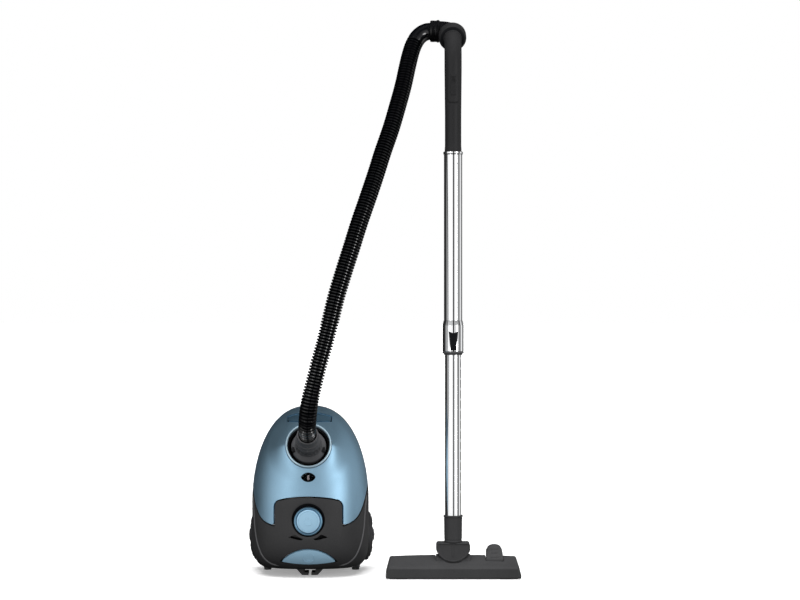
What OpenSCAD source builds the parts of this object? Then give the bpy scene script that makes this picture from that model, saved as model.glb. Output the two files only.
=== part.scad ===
// Canister vacuum cleaner, stored upright on its rear end, with its hose,
// telescopic wand and floor head standing beside it.
// X is to the right, Y away from the viewer, Z up. Millimetres.

/* [Canister] */
// Width of the canister's body
body_w = 230; // [224:1:236]
// Height of the canister's nose above the floor
body_top = 328; // [322:1:334]
// Height of the flat rear end above the floor
body_bottom = 15; // [14:1:16]
// How far the lid bulges forward of the parting plane
front_depth = 102; // [98:1:106]
// How far the underside lies behind the parting plane
back_depth = 84; // [80:1:88]
// Wall of the mouldings
wall = 3; // [2.5:0.1:3.5]

/* [Wheels] */
// Radius of a main wheel
wheel_r = 51; // [49:0.5:52]
// Width of a main wheel
wheel_w = 20; // [18:1:22]
// Radius of the castor's wheel
castor_r = 14; // [12:0.5:15]

/* [Hose] */
// Outer diameter of the corrugated hose
hose_d = 34; // [30:1:36]
// Angle that the hose socket faces above level
socket_tilt = 28; // [24:1:32]

/* [Wand] */
// Distance from the canister's centre line to the wand
wand_gap = 280.5; // [276:0.5:300]
// Radius of the lower chrome tube
lower_r = 16; // [15.5:0.1:16.5]
// Radius of the upper chrome tube
upper_r = 17.8; // [17.6:0.1:18.2]
// Angle of the handle's end above level
handle_rise = 25; // [20:1:30]

/* [Floor head] */
// Width of the floor head
head_w = 262; // [250:1:270]

/* [Hidden] */

// Places of the two upright centre lines.
canister_x = -142.5;
canister_y = 16.4;
wand_x = canister_x + wand_gap;
wand_y = canister_y - 57;

// Canister form: half widths and depths fall off above the shoulder and below the waist.
shoulder_z = 141;
crown_z = 130;
half_w = body_w / 2;
nose_reach = body_top + 3 - shoulder_z;
crown_reach = body_top + 3 - crown_z;
form_sides = 40;
form_rows = 17;
part_gap = 0.4;

function rise(z, start, reach) = max(0, (z - start) / reach);
function drop(z, start, reach) = max(0, (start - z) / reach);
function fall(t, p, q) = pow(max(0, 1 - pow(t, p)), 1 / q);
function form_half_w(z) = half_w * fall(rise(z, shoulder_z, nose_reach), 2, 2.4)
    * fall(drop(z, shoulder_z, 140), 8, 3);
function form_front(z) = front_depth * fall(rise(z, crown_z, crown_reach), 2, 2.2)
    * fall(drop(z, crown_z, 125), 4, 2.5);
function form_back(z) = back_depth * fall(rise(z, crown_z, crown_reach), 3, 3)
    * fall(drop(z, crown_z, 125), 8, 4);
function signed_pow(v, p) = (v < 0 ? -1 : 1) * pow(abs(v), p);
function form_point(z, a, inset) = [
    (form_half_w(z) - inset) * signed_pow(cos(a), a > 180 ? 2 / 2.3 : 2 / 3.5),
    (a > 180 ? form_front(z) - inset : form_back(z) - inset)
        * signed_pow(sin(a), a > 180 ? 2 / 2.3 : 2 / 3.5)
];
// Rows crowd together towards both ends, where the form curves most.
function form_row_z(i, low, high) = low + (high - low) * (1 - cos(180 * i / form_rows)) / 2;

// Closed skin through rings of points; every ring has the same number of points.
module loft(rings) {
    n = len(rings[0]);
    last = len(rings) - 1;
    points = [for (ring = rings) for (p = ring) p];
    sides = [for (i = [0:last - 1]) for (j = [0:n - 1]) for (t = [0, 1])
        t == 0
            ? [i * n + j, (i + 1) * n + (j + 1) % n, i * n + (j + 1) % n]
            : [i * n + j, (i + 1) * n + j, (i + 1) * n + (j + 1) % n]];
    ends = [[for (j = [0:n - 1]) j], [for (j = [n - 1:-1:0]) last * n + j]];
    polyhedron(points, concat(sides, ends), convexity = 6);
}

// The canister's smooth outer form, shrunk by an inset.
module form(inset = 0) {
    rings = [for (i = [0:form_rows])
        let (z = form_row_z(i, body_bottom, body_top),
             z_in = min(max(z, body_bottom + inset), body_top - inset * 1.2))
        [for (j = [0:form_sides - 1])
            let (p = form_point(z, 360 * (j + 0.5) / form_sides, inset))
            [p[0], p[1], z_in + (i / form_rows - 0.5) * 0.01]]];
    loft(rings);
}

// A slab of the canister's inside between two heights.
module inner_slab(low, high, inset) {
    intersection() {
        form(inset);
        translate([-150, -150, low]) cube([300, 300, high - low]);
    }
}

// Edge of the rear housing seen from the front: two scoops and a tongue in the middle.
tongue_half = 66.5;
tongue_top = 160;
tongue_corner = 14;
lobe_low = 103;
function lobe_edge(x) = lobe_low + lobe_rise(max(0, abs(x) - tongue_half - 0.5));
function lobe_rise(d) = 0.3 * d + 32.3 * pow(d / 41, 4.1);
module rear_outline(grow) {
    polygon(concat(
        [[-140, -10], [-140, lobe_edge(140) + grow]],
        [for (x = [-125:5:-70]) [x, lobe_edge(x) + grow]],
        [[-tongue_half - grow, lobe_low + grow]],
        [for (a = [180:-15:90]) [
            -tongue_half + tongue_corner + (tongue_corner + grow) * cos(a),
            tongue_top - 6 - tongue_corner + (tongue_corner + grow) * sin(a)]],
        [for (x = [-45:15:45]) [x, tongue_top + grow - 6 * pow(x / 56, 2)]],
        [for (a = [90:-15:0]) [
            tongue_half - tongue_corner + (tongue_corner + grow) * cos(a),
            tongue_top - 6 - tongue_corner + (tongue_corner + grow) * sin(a)]],
        [[tongue_half + grow, lobe_low + grow]],
        [for (x = [70:5:125]) [x, lobe_edge(x) + grow]],
        [[140, lobe_edge(140) + grow], [140, -10]]
    ));
}
module rear_region(grow) {
    translate([0, -part_gap, 0]) rotate([90, 0, 0]) linear_extrude(140) rear_outline(grow);
}

// Moves children from the canister's own centre line into place.
module at_canister() {
    translate([canister_x, canister_y, 0]) children();
}
module at_wand() {
    translate([wand_x, wand_y, 0]) children();
}

// A straight round bar or hole along X, between two places.
module bar_x(x1, x2, r) {
    translate([x1, 0, 0]) rotate([0, 90, 0]) cylinder(h = x2 - x1, r = r, $fn = 64);
}
module tube_z(z1, z2, r_out, r_in) {
    difference() {
        translate([0, 0, z1]) cylinder(h = z2 - z1, r = r_out, $fn = 96);
        translate([0, 0, z1 - 1]) cylinder(h = z2 - z1 + 2, r = r_in, $fn = 96);
    }
}

// Places shared by several pieces.
wheel_y = 54;
wheel_z = 70;
wheel_in = 103;
well_r = wheel_r + 2;
castor_z = 270;
castor_axle_y = 91;
castor_axle_drop = 13;
cup_out_r = 29.5;
cup_r = 26.5;
hinge_y = -86.6;
hinge_z = 105.5;
hinge_relief_r = 3.6;
button_z = 113;
button_cup_r = 28;
bezel_r = 23;
button_r = 22.5;
pedal_z = 43;
ring_r = 44.5;
bowl_r = 41;
latch_half = 43;
latch_low = 303;
latch_arc_z = 200;
latch_arc_r = 119;
bag_port_z = 259;
socket_pos = [0, -84, 259];
window_z = 197;
bulkhead_z = 148;
motor_x = -38;
motor_y = -8;
reel_pos = [56, -14, 82];
grille_pos = [-52, 38];
outlet_pos = [56, 34];
foot_x = 88;
foot_y = 50;

module wheel_wells(r_well, x_from, x_to) {
    for (side = [-1, 1])
        translate([0, wheel_y, wheel_z])
            bar_x(side > 0 ? x_from : -x_to, side > 0 ? x_to : -x_from, r_well);
}

module lower_housing() color("#454546") at_canister() difference() {
    union() {
        difference() {
            intersection() {
                form();
                translate([-150, part_gap, 0]) cube([300, 150, 400]);
            }
            form(wall);
        }
        intersection() {
            form(0.1);
            wheel_wells(well_r + 3, 98.5, 130);
            translate([-150, part_gap, 0]) cube([300, 150, 400]);
        }
        intersection() {
            form(0.1);
            translate([0, 58, castor_z]) rotate([-90, 0, 0]) cylinder(h = 40, r = cup_out_r, $fn = 96);
        }
        translate([0, 52, castor_z]) rotate([-90, 0, 0]) cylinder(h = 7, r = 8, $fn = 64);
        for (side = [-1, 1]) translate([side * foot_x, foot_y, 5]) cylinder(h = 24, r = 8.5, $fn = 64);
    }
    wheel_wells(well_r, wheel_in - 1.5, 140);
    translate([0, wheel_y, wheel_z]) bar_x(-120, 120, 4);
    castor_pocket();
    translate([grille_pos[0] - 24.5, grille_pos[1] - 18.5, 10]) cube([49, 37, 9]);
    translate([outlet_pos[0], outlet_pos[1], 10]) cylinder(h = 10, r = 9, $fn = 64);
    for (p = screw_places()) translate([p[0], p[1], 10]) cylinder(h = 10, r = 1.9, $fn = 32);
}
module castor_pocket() {
    translate([0, 40, castor_z]) rotate([-90, 0, 0]) cylinder(h = 60, r = 3.05, $fn = 64);
    translate([0, 61, castor_z]) rotate([-90, 0, 0]) cylinder(h = 50, r = cup_r, $fn = 96);
}
function screw_places() = [[-82, 8], [82, 8], [-14, 58], [14, 58]];

module rear_housing() color("#454546") at_canister() difference() {
    intersection() {
        form();
        rear_region(-part_gap);
    }
    difference() {
        form(wall);
        translate([0, -86, button_z]) rotate([90, 0, 0]) cylinder(h = 40, r = button_cup_r + 2, $fn = 96);
    }
    translate([0, -89, button_z]) rotate([90, 0, 0]) cylinder(h = 40, r = button_cup_r, $fn = 96);
    translate([0, -50, button_z]) rotate([90, 0, 0]) cylinder(h = 60, r = 12, $fn = 64);
    pedal_opening();
    translate([0, hinge_y, hinge_z]) bar_x(-tongue_half - 4.5, tongue_half + 4.5, 1.25);
    for (side = [-1, 1]) translate([0, hinge_y, hinge_z])
        bar_x(side > 0 ? 67 : -76, side > 0 ? 76 : -67, hinge_relief_r);
}
module pedal_opening() {
    translate([0, -40, pedal_z]) rotate([90, 0, 0]) linear_extrude(80) pedal_shape(0.6);
}
// Lens outline with a high crown and a shallow belly.
module pedal_shape(grow) {
    intersection() {
        translate([0, -54.4]) circle(r = 70 + grow, $fn = 144);
        translate([0, 256.5]) circle(r = 273 + grow, $fn = 360);
    }
}

module button_bezel() color("#2c2c2e") at_canister() translate([0, 0, button_z]) rotate([90, 0, 0])
    difference() {
        translate([0, 0, 91]) cylinder(h = 10.5, r = button_cup_r - 0.3, $fn = 96);
        translate([0, 0, 80]) cylinder(h = 30, r = bezel_r, $fn = 96);
    }

module power_button() color("#9fc6dc") at_canister() translate([0, 0, button_z]) rotate([90, 0, 0]) {
    translate([0, 0, 95]) cylinder(h = 6, r = button_r, $fn = 96);
    translate([0, 0, 92]) cylinder(h = 3, r = 6, $fn = 48);
}

module power_switch() color("#1d1d1f") at_canister() {
    translate([-10, -85.6, button_z - 12]) cube([20, 18, 24]);
    translate([0, -87, button_z]) rotate([90, 0, 0]) cylinder(h = 1.8, r = 5, $fn = 48);
    translate([0, -85, button_z]) rotate([90, 0, 0]) cylinder(h = 4, r = 3, $fn = 48);
}

module rewind_pedal() color("#7fa6bf") at_canister() {
    intersection() {
        difference() {
            form(0.3);
            form(7);
        }
        translate([0, -50, pedal_z]) rotate([90, 0, 0]) linear_extrude(80) pedal_shape(0);
    }
    translate([-4, -84, pedal_z - 5]) cube([8, 10, 8]);
    translate([-4, -77, pedal_z - 5]) cube([41, 4, 8]);
}

module bulkhead() color("#3a3a3c") at_canister() difference() {
    inner_slab(bulkhead_z, bulkhead_z + 3, wall + 0.4);
    translate([motor_x - 36, motor_y - 26, bulkhead_z - 1]) cube([72, 52, 5]);
}

module filter_frame() color("#c9c9c6") at_canister() translate([motor_x, motor_y, bulkhead_z + 3])
    difference() {
        translate([-44, -34, 0]) cube([88, 68, 7]);
        translate([-36, -26, -1]) cube([72, 52, 9]);
    }

module motor_filter() color("#f0efe8") at_canister()
    translate([motor_x - 35.8, motor_y - 25.8, bulkhead_z + 0.5]) cube([71.6, 51.6, 8]);

module fan_case() color("#b9bbbe") at_canister() translate([motor_x, motor_y, 0]) {
    tube_z(98, 100, 55, 44);
    tube_z(98, 138, 55, 53.6);
    tube_z(136.5, 138, 55, 20);
}

module motor_stator() color("#8e9094") at_canister() translate([motor_x, motor_y, 0]) {
    tube_z(34, 97.8, 42, 38);
    tube_z(46, 84, 38, 27);
    tube_z(34, 36.5, 38, 8);
    tube_z(95, 97.8, 38, 8);
    tube_z(97.8, 98.8, 43.8, 41);
}

module motor_rotor() color("#c0723c") at_canister() translate([motor_x, motor_y, 0]) {
    translate([0, 0, 30]) cylinder(h = 104, r = 4, $fn = 48);
    translate([0, 0, 48]) cylinder(h = 34, r = 26, $fn = 96);
    translate([0, 0, 38]) cylinder(h = 7, r = 12, $fn = 64);
    tube_z(110, 111.5, 50, 3.5);
    tube_z(124, 125.5, 50, 16);
    for (k = [0:8]) rotate([0, 0, 40 * k])
        translate([18, -0.8, 111]) cube([30, 1.6, 13.5]);
}

module motor_mounts() color("#202020") at_canister() translate([motor_x, motor_y, 0]) {
    tube_z(138.2, 147.8, 50, 36);
    tube_z(18.4, 33.8, 26, 12);
}

module reel_bracket() color("#3f3f42") at_canister() translate([reel_pos[0], reel_pos[1], 0]) {
    translate([29, -14, 20]) cube([2.5, 28, 68]);
    translate([-27.5, -14, 20]) cube([2.5, 28, 68]);
    translate([-25, -14, 20]) cube([54, 28, 2]);
    translate([0, 0, reel_pos[2]]) bar_x(-25, 29, 5);
}

module cord_drum() color("#d8d8d4") at_canister() translate(reel_pos) difference() {
    union() {
        bar_x(-20, -18, 58);
        bar_x(20, 22, 58);
        bar_x(-20, 22, 26);
    }
    bar_x(-25, 10, 22);
    bar_x(-26, 29, 5.05);
}

module rewind_spring() color("#6d7278") at_canister() translate(reel_pos) difference() {
    bar_x(-17.5, 8.5, 20.5);
    bar_x(-18, 9, 17.5);
}

module cord_outlet_grommet() color("#1b1b1c") at_canister()
    translate([outlet_pos[0], outlet_pos[1], 0]) {
        tube_z(14, 20, 8.9, 5);
        tube_z(12.5, 14.9, 12, 5);
        tube_z(18.2, 20, 11, 5);
    }

module exhaust_grille() color("#3b3b3d") at_canister()
    translate([grille_pos[0], grille_pos[1], 15.2]) difference() {
        translate([-24, -18, 0]) cube([48, 36, 2.4]);
        for (i = [-3:3]) translate([-20, i * 4.4 - 1.1, -1]) cube([40, 2.2, 5]);
    }

module exhaust_filter() color("#ecebe4") at_canister()
    translate([grille_pos[0] - 23, grille_pos[1] - 17, 18.2]) cube([46, 34, 9]);

module bag_holder() color("#7fa6bf") at_canister() difference() {
    union() {
        translate([-46, -24, 228]) cube([92, 4, 66]);
        for (side = [-1, 1]) translate([side * 44 - 2, -22, 286]) cube([4, 76, 6]);
    }
    translate([0, -30, bag_port_z]) rotate([-90, 0, 0]) cylinder(h = 20, r = 27, $fn = 96);
}

module bag_collar() color("#b99a6b") at_canister() difference() {
    translate([-40, -19.7, 236]) cube([80, 2.5, 54]);
    translate([0, -25, bag_port_z]) rotate([-90, 0, 0]) cylinder(h = 20, r = 22, $fn = 96);
}

module dust_bag() color("#ebe6da") at_canister() hull() {
    for (x = [-1, 1]) {
        translate([x * 64, 14, 188]) sphere(r = 28, $fn = 24);
        translate([x * 16, 16, 268]) sphere(r = 22, $fn = 24);
        translate([x * 62, 32, 190]) sphere(r = 24, $fn = 24);
    }
    translate([0, -4, bag_port_z]) rotate([90, 0, 0]) cylinder(h = 13, r = 26, $fn = 48);
}

module cover_seal() color("#1c1c1d") at_canister() intersection() {
    difference() {
        form(wall + 0.4);
        form(wall + 3.4);
    }
    translate([-150, 1, bulkhead_z + 8]) cube([300, 3, 152]);
}

module hinge_pins() color("#a8aaad") at_canister() for (side = [-1, 1])
    translate([0, hinge_y, hinge_z]) bar_x(side > 0 ? 62 : -70.5, side > 0 ? 70.5 : -62, 1.2);

module housing_screws() color("#b5b7ba") at_canister() for (p = screw_places())
    translate([p[0], p[1], 0]) {
        translate([0, 0, 15.1]) cylinder(h = 14, r = 1.7, $fn = 32);
        translate([0, 0, 12.9]) cylinder(h = 2.1, r = 3.6, $fn = 6);
    }

module parking_bracket() color("#3a3a3c") at_canister() difference() {
    translate([0, 4, 0]) rotate([90, 0, 0]) linear_extrude(36) hull() {
        for (side = [-1, 1]) translate([side * 13, 5]) circle(r = 5, $fn = 48);
        translate([-26, 12]) square([52, 2.9]);
    }
    translate([-11, -40, 5.4]) cube([22, 60, 7.9]);
    translate([-2.9, -40, -2]) cube([5.8, 60, 9]);
}

module rear_feet() color("#232324") at_canister() for (side = [-1, 1])
    translate([side * foot_x, foot_y, 0]) difference() {
        cylinder(h = 4.9, r = 7.5, $fn = 64);
        translate([0, 0, -1]) cylinder(h = 3, r = 4, $fn = 48);
    }

module wheel_axles() color("#a8aaad") at_canister() translate([0, wheel_y, wheel_z])
    for (side = [-1, 1]) {
        bar_x(side > 0 ? 90 : -122, side > 0 ? 122 : -90, 3.95);
        bar_x(side > 0 ? 96 : -98.4, side > 0 ? 98.4 : -96, 7);
    }

// One main wheel: rubber-edged disc with a dished face and a running bore.
module wheel_disc(side) at_canister() translate([0, wheel_y, wheel_z])
    rotate([0, side * 90, 0]) translate([0, 0, wheel_in]) difference() {
        rotate_extrude($fn = 120) polygon([
            [4.02, 0], [wheel_r - 4, 0], [wheel_r - 1, 2], [wheel_r, 5], [wheel_r, 13],
            [wheel_r - 2, 16], [wheel_r - 8, 18], [30, 19], [26, 15], [16, 15], [13, 20], [4.02, 20]
        ]);
        for (k = [0:17]) rotate([0, 0, 20 * k])
            translate([wheel_r - 1, -1.5, -1]) cube([4, 3, wheel_w + 4]);
    }
module left_wheel() color("#38383a") wheel_disc(-1);
module right_wheel() color("#38383a") wheel_disc(1);

module wheel_caps() color("#4b4b4d") at_canister() translate([0, wheel_y, wheel_z])
    for (side = [-1, 1]) rotate([0, side * 90, 0])
        rotate_extrude($fn = 96) polygon([
            [0, 122.2], [3.9, 122.2], [3.9, 123.3], [11, 123.3], [11, 124.6], [8, 126], [0, 126.5]
        ]);

module castor_fork() color("#303032") at_canister() translate([0, 0, castor_z]) {
    rotate([-90, 0, 0]) {
        translate([0, 0, 50]) cylinder(h = 13, r = 3, $fn = 64);
        translate([0, 0, 61.6]) cylinder(h = 3, r = 15, $fn = 64);
        translate([0, 0, 49.6]) cylinder(h = 1.6, r = 5, $fn = 48);
    }
    for (side = [-1, 1]) translate([side * 10 - 1.5, 63, -20]) cube([3, 32, 14]);
    translate([0, castor_axle_y, -castor_axle_drop]) bar_x(-11, 11, 2.5);
}

module castor_wheel() color("#2a2a2b") at_canister() translate([0, castor_axle_y, castor_z - castor_axle_drop])
    difference() {
        bar_x(-7.5, 7.5, castor_r);
        bar_x(-9, 9, 2.55);
    }

// Directions of the hose socket: along its axis, outwards.
module at_socket() {
    at_canister() translate(socket_pos) rotate([90 - socket_tilt, 0, 0]) children();
}

module dust_cover() color("#86abc4") difference() {
    at_canister() difference() {
        intersection() {
            form();
            translate([-150, -150, 20]) cube([300, 150 - part_gap, 400]);
        }
        form(wall);
        rear_region(part_gap);
        translate([0, -60, window_z]) rotate([90, 0, 0]) linear_extrude(60) window_shape(0.2);
        latch_cut(0.5);
        translate([0, hinge_y, hinge_z]) bar_x(-72, 72, 1.25);
    }
    at_socket() translate([0, 0, -40]) cylinder(h = 80, r = ring_r + 0.1, $fn = 96);
}
module window_shape(grow) {
    intersection() {
        translate([0, -8.4]) circle(r = 15.9 + grow, $fn = 96);
        translate([0, 8.4]) circle(r = 15.9 + grow, $fn = 96);
    }
}

module window_lens() color("#22262a") at_canister() translate([0, -89, window_z]) rotate([90, 0, 0])
    linear_extrude(9) window_shape(0);

module bag_indicator() color("#c65b4e") at_canister() translate([-2.2, -85, window_z - 4])
    cube([4.4, 2.5, 8]);

module latch_cut(grow) {
    translate([0, -10, 0]) rotate([90, 0, 0]) linear_extrude(80) intersection() {
        translate([-latch_half - grow, latch_low - grow]) square([2 * (latch_half + grow), 30]);
        translate([0, latch_arc_z]) circle(r = latch_arc_r + grow, $fn = 160);
    }
}
module cover_latch() color("#5f8399") at_canister() {
    intersection() {
        difference() {
            form(0.8);
            form(4.5);
        }
        latch_cut(0);
    }
    translate([-14, -44.5, latch_low + 3]) cube([28, 8, 4]);
}

module socket_ring() color("#9fc6dc") at_socket() difference() {
    translate([0, 0, -12]) cylinder(h = 17, r = ring_r, $fn = 120);
    translate([0, 0, -13]) cylinder(h = 19, r = bowl_r, $fn = 120);
}

module socket_bowl() color("#1f1f21") at_socket() difference() {
    translate([0, 0, -24]) cylinder(h = 22, r = bowl_r, $fn = 120);
    translate([0, 0, -20]) cylinder(h = 20, r = 36.5, $fn = 120);
    translate([0, 0, -30]) cylinder(h = 20, r = 24.05, $fn = 120);
}

// Cuff on the hose's lower end; it turns in the socket.
cuff_len = 50;
module hose_cuff() color("#47484b") at_socket() difference() {
    rotate_extrude($fn = 120) polygon([
        [17.1, -34], [24, -34], [24, -16], [34, -16], [34, -4], [30, -1], [26, 2],
        [25, 22], [23.5, 30], [23.5, 34], [21.5, 36], [20.5, cuff_len], [17.1, cuff_len]
    ]);
    for (side = [-1, 1]) translate([side * 28.5 - 7, -15, -15]) cube([14, 11, 20]);
}
module cuff_tab(side) at_socket() translate([side * 28.5 - 3.5, -14.5, -14.5]) cube([7, 10, 15]);
module left_cuff_tab() color("#5a5b5e") cuff_tab(-1);
module right_cuff_tab() color("#5a5b5e") cuff_tab(1);

// Route of the hose's centre line from the lower cuff to the swivel elbow, measured
// from the canister's centre line.
HOSE_ROUTE = [
    [0, -128.6, 282.8], [0, -140, 289], [0.5, -152, 297], [1.5, -162, 309], [3, -170, 324],
    [5.5, -175, 342], [9.5, -178, 362], [16.5, -179, 390], [24.5, -178, 422], [34.5, -174, 458],
    [44.5, -169, 498], [55.5, -161, 544], [69.5, -151, 592], [84.5, -139, 640], [98.5, -126, 686],
    [114.5, -111, 734], [129.5, -95, 780], [143.5, -79, 826], [159.5, -61, 874], [172.5, -44, 920],
    [183.5, -27, 962], [191.5, -12, 1000], [197.5, 0, 1026], [203.5, 9, 1045], [211.5, 16, 1060],
    [220.5, 20, 1069], [230.5, 21.9, 1073.9], [239.7, 22, 1074.6]
];
hose_sides = 12;
function unit(v) = v / norm(v);
function hose_dir(i) = unit(HOSE_ROUTE[min(i + 1, len(HOSE_ROUTE) - 1)] - HOSE_ROUTE[max(i - 1, 0)]);
function hose_ring(i) =
    let (d = hose_dir(i), u = unit(cross(d, [0.3, -0.9, -0.3])), v = cross(d, u))
    [for (k = [0:hose_sides - 1])
        let (a = 360 * k / hose_sides)
        HOSE_ROUTE[i] + hose_d / 2 * (cos(a) * u + sin(a) * v)];
module hose() color("#18191c") at_canister() loft([for (i = [0:len(HOSE_ROUTE) - 1]) hose_ring(i)]);

// Top of the handle: a bend back, a round collar, and the hose's swivel elbow in it.
handle_low = 829;
handle_r = 17.4;
handle_bore = 14;
bend_z = 1003;
bend_r = 55;
bend_sweep = 90 - handle_rise;
module at_handle_end() {
    at_wand() translate([0, bend_r, bend_z]) rotate([-bend_sweep, 0, 0])
        translate([0, -bend_r, 0]) children();
}

module handle() color("#303032") {
    difference() {
        union() {
            at_wand() tube_z(handle_low, bend_z, handle_r, handle_bore);
            at_wand() tube_z(handle_low - 37, handle_low, 16.95, handle_bore);
            at_wand() translate([0, bend_r, bend_z]) rotate([90, 0, 90])
                rotate([0, 0, 180 - bend_sweep]) rotate_extrude(angle = bend_sweep, $fn = 120)
                    translate([bend_r, 0]) difference() {
                        circle(r = handle_r, $fn = 96);
                        circle(r = handle_bore, $fn = 96);
                    }
        }
        at_wand() translate([-6, -20, 920]) cube([12, 4.6, 62]);
        at_wand() translate([0, -12, 930]) rotate([90, 0, 0]) cylinder(h = 10, r = 4, $fn = 48);
    }
    at_handle_end() {
        tube_z(-1.5, 4, 20.5, 16);
        tube_z(2, 4.5, 27, 16);
        tube_z(3.5, 27, 27, 20.05);
    }
}

module air_slider() color("#262628") at_wand() difference() {
    intersection() {
        translate([-5.6, -20, 938]) cube([11.2, 10, 42]);
        tube_z(938, 980, 18.4, 16.5);
    }
    for (i = [0:4]) translate([-6, -19.2, 966 + 2.4 * i]) cube([12, 1.2, 1.2]);
}

elbow_r = 24;
elbow_out_r = 20;
elbow_bore = 17.05;
module swivel_elbow() color("#141416") {
    at_handle_end() {
        tube_z(6, 28, elbow_out_r, elbow_bore);
        translate([-elbow_r, 0, 28]) rotate([90, 0, 0]) rotate_extrude(angle = 90, $fn = 120)
            translate([elbow_r, 0]) difference() {
                circle(r = elbow_out_r, $fn = 96);
                circle(r = elbow_bore, $fn = 96);
            }
        translate([-elbow_r, 0, 28 + elbow_r]) rotate([0, -90, 0]) {
            tube_z(0, 16.5, elbow_out_r + 1.5, elbow_bore);
            tube_z(2, 6, 22.6, 21);
        }
    }
}

collar_low = 440;
upper_low = 456;
collar_r = 20.6;
module upper_tube() color("#d9dbde") at_wand() {
    tube_z(upper_low, handle_low, upper_r, 17);
    tube_z(handle_low - 4, handle_low, 19.2, upper_r - 0.01);
}

module lock_collar() color("#c8cacd") at_wand() difference() {
    union() {
        tube_z(collar_low, upper_low, collar_r, lower_r + 0.06);
        tube_z(upper_low, upper_low + 40, collar_r, upper_r + 0.01);
        tube_z(upper_low + 40, upper_low + 44, 19.2, upper_r + 0.01);
    }
    translate([-11, -30, collar_low - 2]) cube([22, 30 - upper_r - 0.2, 50]);
}

module tube_end_ring() color("#2b2b2d") at_wand() tube_z(collar_low - 7, collar_low, 19.8, lower_r + 0.06);

module lock_button() color("#1f1f21") at_wand() intersection() {
    translate([0, -upper_r - 0.3, 441]) rotate([90, 0, 0]) linear_extrude(6)
        polygon([[-6, 0], [6, 0], [10.5, 40], [0, 35], [-10.5, 40]]);
    translate([0, 0, 430]) cylinder(h = 60, r = 23.6, $fn = 96);
}

notch_count = 14;
notch_pitch = 20;
notch_low = 164;
module lower_tube() color("#d2d4d7") at_wand() difference() {
    tube_z(104, 500, lower_r, lower_r - 1);
    for (i = [0:notch_count - 1])
        translate([lower_r - 1.6, -5, notch_low + notch_pitch * i]) cube([5, 10, 4.5]);
}

// Floor head, in the wand's own frame; its sides lean in towards the top.
head_half = head_w / 2;
pivot = [0, 2, 30];
roller_x = 106;
roller_y = 23;
roller_r = 8;
pedal_pin_pos = [0, 4, 27];
// Side view of the head, shrunk by an inset.
module head_side(inset, low) {
    polygon([
        [-38 + inset, low], [-38 + inset, 21], [-34 + inset, 25 - inset * 0.8], [8, 40.5 - inset],
        [28 - inset / 2, 40.5 - inset], [38 - inset, 30 - inset / 2], [38 - inset, low]
    ]);
}
module head_slice(x1, x2, inset, low) {
    translate([x1, 0, 0]) rotate([90, 0, 90]) linear_extrude(x2 - x1) head_side(inset, low);
}
pedal_x = 81;

module head_cover() color("#3d3d3f") at_wand() difference() {
    head_slice(-head_half, head_half, 0, 2.5);
    // Ends that lean in.
    for (side = [-1, 1]) translate([side * head_half, 0, 10]) rotate([0, side * -14, 0])
        translate([side > 0 ? 0 : -30, -60, -12]) cube([30, 120, 60]);
    // Chambers between the cross walls, and the air way through those.
    head_slice(-120, -43, 3, 1);
    head_slice(43, 58, 3, 1);
    head_slice(104, 120, 3, 1);
    translate([-125, -35.8, 0]) cube([250, 71.6, 10.6]);
    for (side = [-1, 1]) translate([side * roller_x - 8, 13, 0]) cube([16, 21, 18]);
    // Cradle and rear notch for the yoke.
    translate(pivot) bar_x(-35.5, 35.5, 21.5);
    translate([-35.5, -21.5, 19]) cube([71, 70, 40]);
    translate(pivot) bar_x(-42, 42, 5.05);
    // Pocket for the pedal.
    translate([pedal_x - 18.5, -11, 14]) cube([37, 45, 40]);
    translate(pedal_pin_pos) bar_x(pedal_x - 24, pedal_x + 24, 1.9);
}

module sole_plate() color("#4a4a4c") at_wand() difference() {
    union() {
        translate([-124, -35.6, 0.8]) cube([248, 71.2, 1.6]);
        for (side = [-1, 1]) translate([side * 100 - 10, -33, 0]) cube([20, 4, 1]);
        for (x = [-116, -98, 96, 114]) translate([x, 19, 2.4]) cube([2, 8, 7.6]);
    }
    translate([0, roller_y, roller_r]) bar_x(-120, 120, 2.02);
    translate([-104, -12, -1]) cube([208, 20, 6]);
    translate([-118, -25, -1]) cube([236, 7, 6]);
    translate([-90, 17, -1]) cube([180, 7, 6]);
    for (side = [-1, 1]) translate([side * roller_x - 8, 12, -1]) cube([16, 22, 6]);
}

module brush_strips() color("#1a1a1b") at_wand() {
    translate([-116, -23.5, 1.2]) cube([232, 4, 7.3]);
    translate([-88, 18.5, 1.2]) cube([176, 4, 7.3]);
    for (x = [-96, 96]) translate([x - 4, -23.5, 8.4]) cube([8, 29, 2]);
    for (x = [-80, 54]) translate([x - 3, -23.5, 8.4]) cube([6, 46, 2]);
}

module yoke() color("#37373a") at_wand() difference() {
    union() {
        translate(pivot) bar_x(-33.5, 33.5, 18);
        translate(pivot) bar_x(-41, 41, 5);
        translate([0, 19, 0]) rotate([90, 0, 0]) linear_extrude(34) intersection() {
            translate([-34, 24]) square([68, 44]);
            translate([0, 58]) circle(r = 36, $fn = 96);
        }
    }
    translate([0, 0, 5]) cylinder(h = 60, r = 12.5, $fn = 96);
    translate([0, 0, 40]) cylinder(h = 60, r = 14.55, $fn = 96);
}

module neck() color("#333336") at_wand() {
    tube_z(40.3, 68.3, 14.5, 12.5);
    tube_z(68.3, 104, 17, 12.5);
    tube_z(104, 120, 17.4, lower_r + 0.05);
    tube_z(118, 121, 18.8, lower_r + 0.05);
}

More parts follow.
